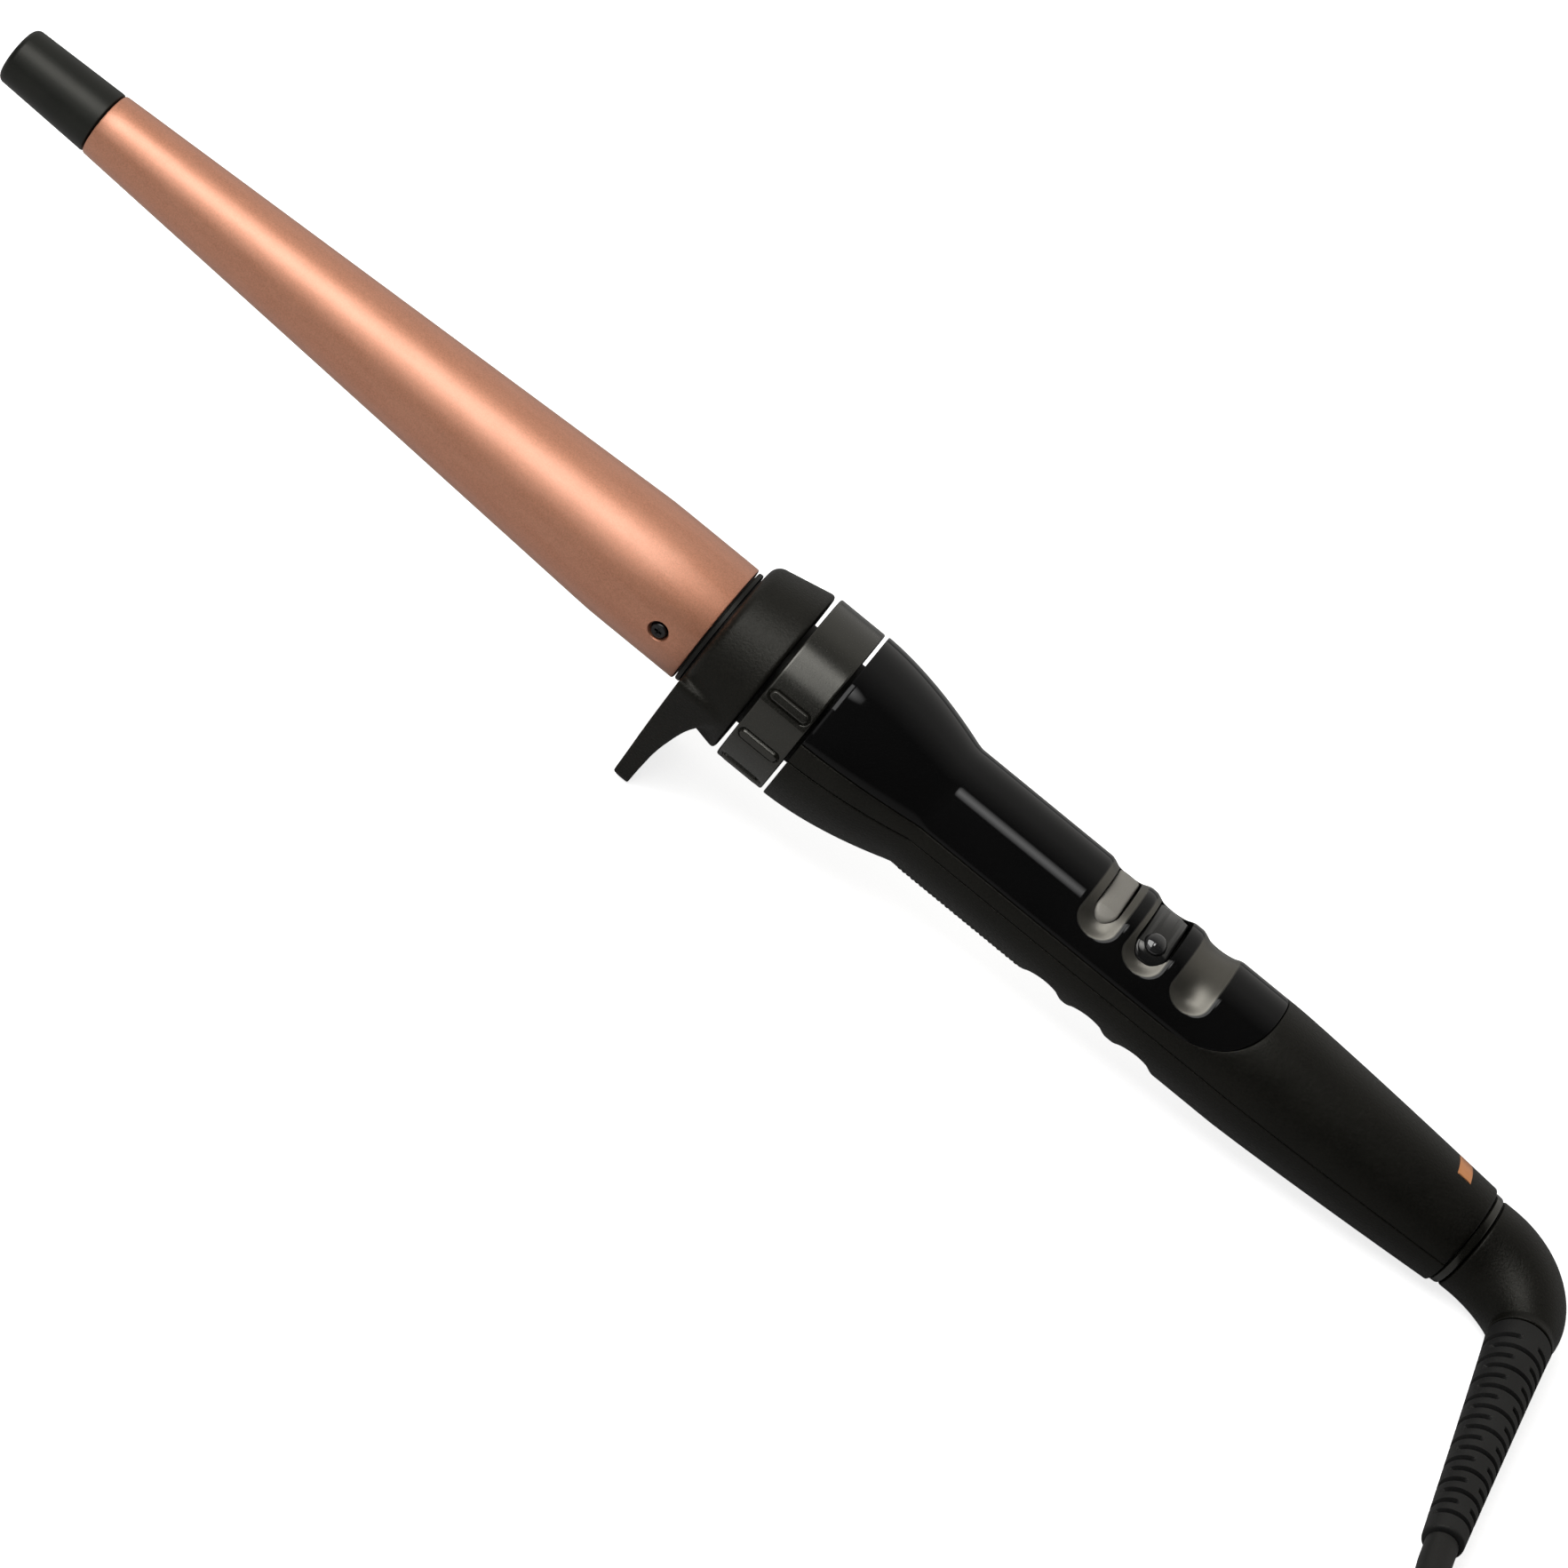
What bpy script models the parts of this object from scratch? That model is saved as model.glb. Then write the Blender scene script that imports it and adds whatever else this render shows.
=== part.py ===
"""Curling wand: a tapered heated barrel with a cool tip, a collar with a stand foot,
a temperature dial, a two-shell handle with two push buttons, and a swivel cord outlet.

The wand's own frame has +X along its axis from the cool tip to the cord, +Z up through
the buttons and -Y on the side that the cord leaves.  An empty tilts that frame so that
the wand stands on its foot and on the swivel.  The world's origin is the middle of the
foot's small flat end, and the table is the plane Z = 0.

All dimensions below are millimetres and degrees; MM turns them into metres.
"""
import math

import bmesh
import bpy
from mathutils import Matrix, Vector

MM = 0.001
GAP = 0.3            # clearance between neighbouring pieces
ROUND = 32           # sides of a large turned piece
SMALL_ROUND = 20     # sides of a small turned piece
FAR = 60.0           # further out than any piece of the wand

# positions along the axis, from the front of the cool tip
TIP_END = 20.0
TAPER_END = 143.0
BARREL_END = 162.6
BARREL_SCREW_X = 155.7
HEATER_START = 45.0
HEATER_END = 135.0
SPRING_START = 136.2
SPRING_END = 145.8
CARRIER_START = 147.0
CARRIER_END = 199.0
COLLAR_START = 164.2
COLLAR_END = 176.4
DIAL_START = 177.3
DIAL_END = 187.6
HANDLE_START = 188.3
FLARE_END = 213.8
TAIL_START = 288.0
HANDLE_END = 336.3
OUTLET_START = 338.6

# radii
TIP_RADIUS = 5.75
TIP_JOINT_RADIUS = 6.4
BARREL_FRONT_RADIUS = 6.45
BARREL_RADIUS = 12.5
BARREL_WALL = 1.3
BARREL_FIT = 0.35            # clearance of the pieces inside the barrel
HEATER_HALF_THICKNESS = 1.5
SPREADER_WALL = 1.8
SPRING_RADIUS = 8.2
CARRIER_RADIUS = 11.2
CARRIER_BORE = 8.4
COLLAR_FRONT_RADIUS = 15.6
COLLAR_REAR_RADIUS = 17.6
DIAL_RADIUS = 17.85
DIAL_WALL = 2.0
DIAL_WEB = 2.4               # thickness of the dial's front wall
FLARE_RADIUS = 18.0
GRIP_RADIUS = 13.1
TAIL_RADIUS = 10.35
TAIL_BORE = 7.95             # seat of the swivel's bush
SWIVEL_STEM_RADIUS = 5.0

# stand foot
FOOT_FLAT_X = 167.4
FOOT_FLAT_Z = -33.8
FOOT_FLAT_HALF = 0.6
STAND_TILT = 7.80
FOOT_TIP_HALF_WIDTH = 10.8
FOOT_ROOT_HALF_WIDTH = 17.3
FOOT_CORNER = 2.4

# raised ribs on the dial, the same on both sides
RIB_ANGLES = (62.8, 94.5, 127.0)
RIB_WIDTH = 2.0
RIB_HALF_LENGTH = 4.2
RIB_RISE = 0.3

# top panel, grooves and buttons
PANEL_THICKNESS = 2.6
PANEL_HALF_ANGLE = 75.0
PANEL_BEND_START = 270.0
PANEL_BEND_REACH = 15.6
GROOVE_CENTRES = (249.0, 259.3, 270.2)
GROOVE_TUBE_RADIUS = 6.5
GROOVE_RING_RADIUS = 18.3
GROOVE_ARC = 42.0
BUTTON_BOTTOM = 6.4
TEMPERATURE_BUTTON = {"x": 249.2, "width": 4.5, "half_length": 7.7, "top": 12.25, "corner": 2.1}
POWER_BUTTON = {"x": 259.8, "width": 6.6, "half_length": 8.3, "top": 12.0, "corner": 2.4}
LENS_ANGLE = 25.0
LENS_RADIUS = 2.1
BUTTON_GAP = 0.25

# inside the handle
BOARD_START = 229.0
BOARD_END = 288.0
BOARD_TOP = -0.4
BOARD_THICKNESS = 1.6
WIRE_RADIUS = 0.75
SCREW_SEAT_DEPTH = 1.55
BOSSES = {"front": (221.0, 9.4), "rear": (300.0, 11.6)}      # position and top of each screw boss

# swivel outlet and cord
ELBOW_BEND = 86.0
ELBOW_BEND_RADIUS = 13.8
ELBOW_STRAIGHT = 2.4
ELBOW_RADIUS = 9.5
OUTLET_RADIUS = 6.15
OUTLET_BORE = 3.8
OUTLET_RIM = 1.7             # straight length of the outlet past its bend
SLEEVE_LENGTH = 56.0
SLEEVE_START_RADIUS = 6.1
SLEEVE_END_RADIUS = 3.8
SLEEVE_PLUG_RADIUS = 3.4     # of the sleeve's end inside the outlet
CORD_RADIUS = 3.0
COIL_CENTRE = (303.0, -60.0)
COIL_INNER_RADIUS = 22.4
COIL_OUTER_RADIUS = 47.7
COIL_HEIGHT = 12.35
COIL_TURN_RADIUS = 44.6
TABLE_CLEARANCE = 0.05
PLUG_BEND_RADIUS = 28.0      # the cord's last bend, on top of the coil
PLUG_BEND = 150.0
PLUG_HEADING = 215.0         # direction of the plug's pins, seen from above
PLUG_AXIS_HEIGHT = 19.7
PLUG_TAIL = 11.0
PLUG_BODY = (35.0, 26.0, 14.0)
PIN_LENGTH = 19.0
PIN_SPACING = 19.0
PIN_RADIUS = 2.0

# the free cord from the sleeve to the coil, in world millimetres
CORD_ROUTE = (
    (194.25, -71.1, 7.5),
    (194.9, -81.0, 7.0),
    (199.0, -90.4, 5.9),
    (206.4, -97.5, 4.6),
    (215.9, -101.3, 3.6),
    (228.0, -102.0, 3.05),
    (241.0, -101.8, 3.05),
    (254.0, -101.5, 3.05),
    (265.6, -101.8, 3.05),
    (277.0, -104.2, 3.05),
)

COLOURS = {
    "barrel_coating": ((0.62, 0.36, 0.27), 0.32, 0.85),
    "black_satin": ((0.030, 0.030, 0.030), 0.45, 0.0),
    "black_matte": ((0.035, 0.035, 0.034), 0.62, 0.0),
    "black_gloss": ((0.010, 0.010, 0.010), 0.08, 0.0),
    "black_rubber": ((0.020, 0.020, 0.020), 0.70, 0.0),
    "grey_satin": ((0.36, 0.34, 0.30), 0.38, 0.3),
    "smoked_lens": ((0.05, 0.05, 0.05), 0.05, 0.0),
    "insulator": ((0.06, 0.05, 0.04), 0.35, 0.0),
    "steel": ((0.55, 0.55, 0.56), 0.35, 1.0),
    "black_steel": ((0.05, 0.05, 0.05), 0.35, 0.9),
    "aluminium": ((0.70, 0.70, 0.72), 0.40, 1.0),
    "brass": ((0.72, 0.52, 0.22), 0.30, 1.0),
    "ceramic": ((0.80, 0.78, 0.74), 0.60, 0.0),
    "board_green": ((0.04, 0.22, 0.10), 0.50, 0.0),
    "white_plastic": ((0.75, 0.74, 0.70), 0.50, 0.0),
    "red_wire": ((0.50, 0.05, 0.04), 0.50, 0.0),
    "blue_wire": ((0.05, 0.10, 0.40), 0.50, 0.0),
}


# ---------------------------------------------------------------- scene set-up

def clear_scene():
    for old in list(bpy.data.objects):
        bpy.data.objects.remove(old, do_unlink=True)


def make_collection(name):
    collection = bpy.data.collections.new(name)
    bpy.context.scene.collection.children.link(collection)
    return collection


def make_materials():
    made = {}
    for name, (colour, roughness, metallic) in COLOURS.items():
        made[name] = bpy.data.materials.new(name)
        made[name].use_nodes = True
        shader = made[name].node_tree.nodes["Principled BSDF"]
        shader.inputs["Base Color"].default_value = (*colour, 1.0)
        shader.inputs["Roughness"].default_value = roughness
        shader.inputs["Metallic"].default_value = metallic
    return made


def wand_empty():
    """The tilted frame: the middle of the foot's flat end lands on the world's origin."""
    empty = bpy.data.objects.new("wand_frame", None)
    bpy.context.scene.collection.objects.link(empty)
    tilt = Matrix.Rotation(math.radians(STAND_TILT), 4, "Y")
    flat = Vector((FOOT_FLAT_X, 0.0, FOOT_FLAT_Z)) * MM
    empty.matrix_world = Matrix.Translation(-(tilt @ flat)) @ tilt
    return empty


clear_scene()
PARTS = make_collection("curling_wand")
CUTTERS = make_collection("cutters")
MATERIALS = make_materials()
WAND = wand_empty()


# ---------------------------------------------------------------- tools

def place(obj, material=None, parent=WAND):
    """Put an object among the parts, or among the cutters when it has no material."""
    for collection in list(obj.users_collection):
        collection.objects.unlink(obj)
    (PARTS if material else CUTTERS).objects.link(obj)
    obj.parent = parent
    if material:
        obj.data.materials.clear()
        obj.data.materials.append(MATERIALS[material])
    else:
        obj.hide_render = True
        obj.display_type = "WIRE"
    if obj.type == "MESH" and obj.data.polygons:
        obj.data.shade_smooth()
        obj.data.set_sharp_from_angle(angle=math.radians(35.0))
    return obj


def combine(obj, operation, *others, solver="EXACT"):
    for other in others:
        modifier = obj.modifiers.new(operation.lower(), "BOOLEAN")
        modifier.operation = operation
        modifier.object = other
        modifier.solver = solver
    return obj


def turned(name, profile, material=None, sides=ROUND, frame=None, parent=WAND):
    """Turn (position, radius) points about X.

    The profile runs along the outside from low to high X and back along the bore; one
    that starts and ends on the axis makes a solid piece.
    """
    mesh = bpy.data.meshes.new(name)
    points = [(x * MM, 0.0, r * MM) for x, r in reversed(profile)]
    edges = [(i, i + 1) for i in range(len(points) - 1)]
    if profile[0][1] > 0.0:
        edges.append((len(points) - 1, 0))
    mesh.from_pydata(points, edges, [])
    obj = bpy.data.objects.new(name, mesh)
    screw = obj.modifiers.new("turn", "SCREW")
    screw.axis = "X"
    screw.steps = sides
    screw.render_steps = sides
    screw.use_merge_vertices = True
    screw.merge_threshold = 0.000001
    screw.use_smooth_shade = True
    if frame is not None:
        obj.matrix_local = frame
    return place(obj, material, parent)


def block(name, low, high, material=None, bevel=0.0, parent=WAND):
    mesh = bpy.data.meshes.new(name)
    cage = bmesh.new()
    bmesh.ops.create_cube(cage, size=1.0)
    size = [(b - a) * MM for a, b in zip(low, high)]
    middle = [(a + b) * 0.5 * MM for a, b in zip(low, high)]
    bmesh.ops.scale(cage, vec=size, verts=cage.verts)
    cage.to_mesh(mesh)
    cage.free()
    obj = bpy.data.objects.new(name, mesh)
    obj.location = middle
    if bevel:
        rounding = obj.modifiers.new("rounding", "BEVEL")
        rounding.width = bevel * MM
        rounding.segments = 2
    return place(obj, material, parent)


def curve_to_mesh(curve, name):
    """The curve's evaluated surface as a mesh object, its caps welded on."""
    bpy.context.scene.collection.objects.link(curve)
    bpy.context.view_layer.update()
    evaluated = curve.evaluated_get(bpy.context.evaluated_depsgraph_get())
    mesh = bpy.data.meshes.new_from_object(evaluated)
    mesh.name = name
    weld = bmesh.new()
    weld.from_mesh(mesh)
    bmesh.ops.remove_doubles(weld, verts=weld.verts, dist=0.000002)
    weld.to_mesh(mesh)
    weld.free()
    obj = bpy.data.objects.new(name, mesh)
    obj.matrix_world = curve.matrix_world
    bpy.data.objects.remove(curve, do_unlink=True)
    obj.name = name
    return obj


def tube(name, points, radius, material=None, radii=None, resolution=2, parent=WAND):
    """A round bar along the points; radii, where given, are each point's own radius."""
    data = bpy.data.curves.new(name, "CURVE")
    data.dimensions = "3D"
    data.bevel_depth = radius * MM
    data.bevel_resolution = resolution
    data.use_fill_caps = True
    spline = data.splines.new("POLY")
    spline.points.add(len(points) - 1)
    for i, point in enumerate(points):
        spline.points[i].co = (*(c * MM for c in point), 1.0)
        if radii:
            spline.points[i].radius = radii[i] / radius
    obj = bpy.data.objects.new(name, data)
    return place(curve_to_mesh(obj, name), material, parent)


PLAN = Matrix.Identity(4)                                                # outline in X and Y
SIDE = Matrix.Rotation(math.radians(90.0), 4, "X")                       # outline in X and Z
FRONT = Matrix(((0, 0, 1, 0), (1, 0, 0, 0), (0, 1, 0, 0), (0, 0, 0, 1)))  # outline in Y and Z


def extruded(name, outline, low, high, view, material=None, parent=WAND):
    """A flat outline made solid from low to high along the direction of the view."""
    data = bpy.data.curves.new(name, "CURVE")
    data.dimensions = "2D"
    data.fill_mode = "BOTH"
    data.extrude = (high - low) * 0.5 * MM
    spline = data.splines.new("POLY")
    spline.points.add(len(outline) - 1)
    for i, (a, b) in enumerate(outline):
        spline.points[i].co = (a * MM, b * MM, 0.0, 1.0)
    spline.use_cyclic_u = True
    obj = bpy.data.objects.new(name, data)
    middle = Matrix.Translation((0.0, 0.0, (low + high) * 0.5 * MM))
    solid = curve_to_mesh(obj, name)
    solid.data.transform(view @ middle)
    return place(solid, material, parent)


def arc(centre, radius, start, end, count):
    """Points on a circle from one angle to another, both ends included."""
    angles = [math.radians(start + (end - start) * i / count) for i in range(count + 1)]
    return [(centre[0] + radius * math.cos(a), centre[1] + radius * math.sin(a)) for a in angles]


def rounded_bar(centre_x, width, half_length, corner, count=4):
    """A bar outline across the wand with rounded corners, in X and Y."""
    x = width * 0.5 - corner
    y = half_length - corner
    outline = []
    for i, (across, along) in enumerate(((x, y), (-x, y), (-x, -y), (x, -y))):
        outline += arc((centre_x + across, along), corner, 90.0 * i, 90.0 * (i + 1), count)
    return outline


def polar(angle, radius):
    """Y and Z of a point at an angle from the top, turning towards -Y."""
    turn = math.radians(angle)
    return -radius * math.sin(turn), radius * math.cos(turn)


def smooth_path(points, spacing):
    """Points about one spacing apart on a Catmull-Rom curve through the given points."""
    knots = [Vector(p) for p in points]
    knots = [2 * knots[0] - knots[1]] + knots + [2 * knots[-1] - knots[-2]]
    path = []
    for a, b, c, d in zip(knots, knots[1:], knots[2:], knots[3:]):
        count = max(1, round((c - b).length / spacing))
        for i in range(count):
            t = i / count
            path.append(0.5 * (2 * b + (c - a) * t + (2 * a - 5 * b + 4 * c - d) * t * t
                               + (3 * b - 3 * c + d - a) * t ** 3))
    return path + [knots[-2]]


# ---------------------------------------------------------------- outer form

def barrel_radius(x):
    """Outside of the barrel: a long taper, then a cylinder."""
    share = min(1.0, max(0.0, (x - TIP_END) / (TAPER_END - TIP_END)))
    return BARREL_FRONT_RADIUS + (BARREL_RADIUS - BARREL_FRONT_RADIUS) * share


def handle_radius(x):
    """Outside of the handle: flared front, straight grip, slightly tapered tail."""
    if x < FLARE_END:
        share = (x - HANDLE_START) / (FLARE_END - HANDLE_START)
        return FLARE_RADIUS - (FLARE_RADIUS - GRIP_RADIUS) * share ** 1.75
    if x < TAIL_START:
        return GRIP_RADIUS
    share = (x - TAIL_START) / (HANDLE_END - TAIL_START)
    return GRIP_RADIUS - (GRIP_RADIUS - TAIL_RADIUS) * share ** 1.25


def handle_stations(last):
    """Positions at which the handle's outline gets a point."""
    flare = [HANDLE_START + (FLARE_END - HANDLE_START) * i / 7 for i in range(8)]
    tail = [TAIL_START + (HANDLE_END - TAIL_START) * i / 5 for i in range(6)]
    return [x for x in flare + tail if x < last]


# ---------------------------------------------------------------- heated barrel

def cool_tip():
    spigot = 4.75
    pocket = 3.2
    nose = arc((1.0, TIP_RADIUS - 1.0), 1.0, 170.0, 90.0, 4)
    profile = [(-0.3, 0.0), (-0.15, 3.0)] + nose
    profile += [(TIP_END, TIP_JOINT_RADIUS), (TIP_END, spigot), (31.0, spigot), (32.0, spigot - 0.6)]
    profile += [(32.0, pocket), (5.0, pocket), (4.0, pocket - 1.0), (4.0, 0.0)]
    turned("cool_tip", profile, "black_satin")


def barrel():
    start = TIP_END + GAP
    outside = [(start, barrel_radius(start) - 0.25), (start + 0.25, barrel_radius(start))]
    outside += [(TAPER_END, BARREL_RADIUS), (BARREL_END - 0.3, BARREL_RADIUS)]
    outside += [(BARREL_END, BARREL_RADIUS - 0.3)]
    bore = BARREL_RADIUS - BARREL_WALL
    inside = [(BARREL_END, bore), (TAPER_END, bore), (start, barrel_radius(start) - BARREL_WALL)]
    tube_wall = turned("barrel", outside + inside, "barrel_coating")
    for side in (-1, 1):
        hole = turned(f"barrel_screw_hole_{side}", [(0, 0), (0, 1.85), (4.0, 1.85), (4.0, 0)],
                      sides=SMALL_ROUND, frame=radial_frame(BARREL_SCREW_X, 90.0 * side, 10.6))
        combine(tube_wall, "DIFFERENCE", hole)



def radial_frame(x, angle, radius):
    """A frame whose +X points away from the wand's axis, at a distance from it."""
    y, z = polar(angle, radius)
    outward = Vector((0.0, *polar(angle, 1.0)))
    along = Vector((1.0, 0.0, 0.0))
    across = outward.cross(along)
    turn = Matrix((outward, across, -along)).transposed().to_4x4()
    return Matrix.Translation(Vector((x, y, z)) * MM) @ turn


def screw(name, frame, head_radius, head_height, shank_radius, shank_length, material):
    """A pan-head screw: its +X end is the head, and it has a cross recess."""
    edge = 0.25 * head_height
    profile = [(-shank_length, 0.0), (-shank_length, shank_radius), (0.0, shank_radius)]
    profile += [(0.0, head_radius), (head_height - edge, head_radius)]
    profile += [(head_height, head_radius - edge), (head_height, 0.0)]
    fixing = turned(name, profile, material, sides=SMALL_ROUND, frame=frame)
    slot_half = 0.22 * head_radius
    slot_reach = 0.62 * head_radius
    depth = 0.5 * head_height
    for i, (a, b) in enumerate(((slot_half, slot_reach), (slot_reach, slot_half))):
        cutter = block(f"{name}_recess_{i}", (-depth, -a, -b), (depth, a, b))
        cutter.matrix_local = frame @ Matrix.Translation((head_height * MM, 0, 0))
        combine(fixing, "DIFFERENCE", cutter)


def barrel_screws():
    for label, side in (("near", 90.0), ("far", -90.0)):
        frame = radial_frame(BARREL_SCREW_X, side, 11.5)
        screw(f"barrel_screw_{label}", frame, 1.45, 0.95, 0.8, 2.6, "black_steel")


def heater_plate():
    block("heater_plate", (HEATER_START + 4, -4.0, -HEATER_HALF_THICKNESS),
          (HEATER_END - 4, 4.0, HEATER_HALF_THICKNESS), "ceramic", bevel=0.3)


def spreader_profile(inset, start, end):
    front = barrel_radius(HEATER_START) - BARREL_WALL - BARREL_FIT - inset
    rear = barrel_radius(HEATER_END) - BARREL_WALL - BARREL_FIT - inset
    slope = (rear - front) / (HEATER_END - HEATER_START)
    low = front + slope * (start - HEATER_START)
    high = front + slope * (end - HEATER_START)
    return [(start, 0.0), (start, low), (end, high), (end, 0.0)]


def heat_spreaders():
    """Two half-round wedges that press the heater plate and fill the tapered barrel."""
    flat = HEATER_HALF_THICKNESS + GAP
    for label, sign in (("upper", 1), ("lower", -1)):
        solid = turned(f"heat_spreader_{label}", spreader_profile(0.0, HEATER_START, HEATER_END),
                       "aluminium", sides=32)
        hollow = turned(f"spreader_hollow_{label}",
                        spreader_profile(SPREADER_WALL, HEATER_START - 1, HEATER_END + 1), sides=32)
        keep = sorted((sign * flat, sign * FAR))
        keep_hollow = sorted((sign * (flat + SPREADER_WALL), sign * FAR))
        half = block(f"spreader_half_{label}", (0, -FAR, keep[0]), (200, FAR, keep[1]))
        inner_half = block(f"spreader_inner_half_{label}", (0, -FAR, keep_hollow[0]),
                           (200, FAR, keep_hollow[1]))
        combine(hollow, "INTERSECT", inner_half)
        combine(solid, "INTERSECT", half)
        combine(solid, "DIFFERENCE", hollow)


def thrust_spring():
    """Pushes the wedge-shaped spreaders forward into the barrel's taper."""
    turns = 3
    count = 12 * turns
    points = []
    for i in range(count + 1):
        y, z = polar(360.0 * turns * i / count, SPRING_RADIUS)
        points.append((SPRING_START + (SPRING_END - SPRING_START) * i / count, y, z))
    tube("heater_thrust_spring", points, 0.6, "steel", resolution=1)


def heat_sensors():
    fuse = [(108, 0), (108, 0.45), (110, 0.45), (110, 1.6), (119, 1.6), (119, 0.45), (121, 0.45), (121, 0)]
    turned("thermal_fuse", fuse, "brass", sides=16, frame=Matrix.Translation((0, 0, 5.6 * MM)))
    bead = [(112, 0), (112.4, 0.9), (113.4, 1.25), (114.6, 0.9), (115, 0.5), (126, 0.5), (126, 0)]
    turned("temperature_sensor", bead, "ceramic", sides=16, frame=Matrix.Translation((0, 0, -5.6 * MM)))


def barrel_carrier():
    """Heat-proof spine: it plugs the barrel, passes the collar and dial, and ends in the handle."""
    inner_barrel = BARREL_RADIUS - BARREL_WALL - BARREL_FIT
    flange = 12.2
    stop = 12.5
    profile = [(CARRIER_START, inner_barrel - 0.8), (CARRIER_START + 1.0, inner_barrel)]
    profile += [(BARREL_END + GAP, inner_barrel)]
    profile += [(BARREL_END + GAP, flange), (COLLAR_START - GAP, flange)]
    profile += [(COLLAR_START - GAP, CARRIER_RADIUS)]
    profile += [(191.5, CARRIER_RADIUS), (191.5, stop), (194.0, stop), (194.0, CARRIER_RADIUS)]
    profile += [(CARRIER_END, CARRIER_RADIUS), (CARRIER_END, CARRIER_BORE), (CARRIER_START, CARRIER_BORE)]
    spine = turned("barrel_carrier", profile, "insulator")
    for side in (-1, 1):
        hole = turned(f"carrier_screw_hole_{side}", [(0, 0), (0, 1.15), (5.0, 1.15), (5.0, 0)],
                      sides=SMALL_ROUND, frame=radial_frame(BARREL_SCREW_X, 90.0 * side, 7.9))
        combine(spine, "DIFFERENCE", hole)


# ---------------------------------------------------------------- collar, foot and dial

def foot_outline():
    """Side outline of the stand foot, in X and Z, from the front round to the rear."""
    slope = math.tan(math.radians(STAND_TILT))
    front_flat = FOOT_FLAT_Z - FOOT_FLAT_HALF * slope
    rear_flat = FOOT_FLAT_Z + FOOT_FLAT_HALF * slope
    corner = arc((COLLAR_START + 1.5, -32.4), 1.1, 180.0, 262.0, 5)
    outline = [(COLLAR_START, -2.0), (COLLAR_START + 0.1, -16.0)] + corner
    outline += [(FOOT_FLAT_X - FOOT_FLAT_HALF, front_flat), (FOOT_FLAT_X + FOOT_FLAT_HALF, rear_flat)]
    outline += [(168.1, -30.0), (168.3, -26.6), (168.5, -23.6), (168.9, -20.5), (169.5, -17.3)]
    outline += [(170.2, -14.1), (171.1, -11.2), (173.1, -7.0), (175.6, -3.0), (175.6, -2.0)]
    return outline


def collar_stand():
    """Collar moulded in one piece with its tongue-shaped stand foot."""
    bore = CARRIER_RADIUS + GAP
    front = arc((COLLAR_START + 2.6, COLLAR_FRONT_RADIUS - 2.5), 2.6, 180.0, 95.0, 5)
    rear = arc((COLLAR_END - 0.8, COLLAR_REAR_RADIUS - 0.8), 0.8, 85.0, 0.0, 3)
    collar = turned("collar_stand", front + rear + [(COLLAR_END, bore), (COLLAR_START, bore)], "black_matte")
    foot = extruded("foot_solid", foot_outline(), -20.0, 20.0, SIDE)
    corner_centre = (FOOT_TIP_HALF_WIDTH - FOOT_CORNER, FOOT_FLAT_Z - 0.2 + FOOT_CORNER)
    tip = arc(corner_centre, FOOT_CORNER, -90.0, -16.0, 4)
    near_side = tip + [(FOOT_ROOT_HALF_WIDTH, -3.0), (FOOT_ROOT_HALF_WIDTH - 1.0, -1.0)]
    far_side = [(-y, z) for y, z in reversed(near_side)]
    width = extruded("foot_width", near_side + far_side, 160.0, 180.0, FRONT)
    bore_cutter = turned("collar_bore", [(150, 0), (150, bore), (190, bore), (190, 0)])
    combine(foot, "INTERSECT", width)
    combine(collar, "UNION", foot)
    combine(collar, "DIFFERENCE", bore_cutter)


def temperature_dial():
    """Ring that turns on the carrier, with three raised ribs on each side."""
    edge = 0.35
    bore = CARRIER_RADIUS + 0.4
    hollow = DIAL_RADIUS - DIAL_WALL
    profile = [(DIAL_START, DIAL_RADIUS - edge), (DIAL_START + edge, DIAL_RADIUS)]
    profile += [(DIAL_END - edge, DIAL_RADIUS), (DIAL_END, DIAL_RADIUS - edge), (DIAL_END, hollow)]
    profile += [(DIAL_START + DIAL_WEB, hollow), (DIAL_START + DIAL_WEB, bore), (DIAL_START, bore)]
    ring = turned("temperature_dial", profile, "black_satin", sides=40)
    middle = Matrix.Translation(((DIAL_START + DIAL_END) * 0.5 * MM, 0.0, 0.0))
    quarter = Matrix.Rotation(math.radians(90.0), 4, "Z")
    rib_outline = rounded_bar(0.0, RIB_WIDTH, RIB_HALF_LENGTH, RIB_WIDTH * 0.49, 3)
    for i, angle in enumerate(RIB_ANGLES + tuple(-a for a in RIB_ANGLES)):
        rib = extruded(f"dial_rib_{i}", rib_outline, DIAL_RADIUS - 0.9, DIAL_RADIUS + RIB_RISE, PLAN)
        rib.data.transform(middle @ Matrix.Rotation(math.radians(angle), 4, "X") @ quarter)
        combine(ring, "UNION", rib)


def dial_contacts():
    """Ring-shaped resistance track on the carrier, and the wiper that the dial carries."""
    inner = CARRIER_RADIUS + GAP
    track = [(183.6, 15.0), (184.8, 15.0), (184.8, inner), (183.6, inner)]
    turned("dial_track", track, "board_green", sides=40)
    block("dial_wiper", (180.1, -1.6, 12.4), (183.2, 1.6, 14.6), "brass", bevel=0.2)


# ---------------------------------------------------------------- handle

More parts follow.
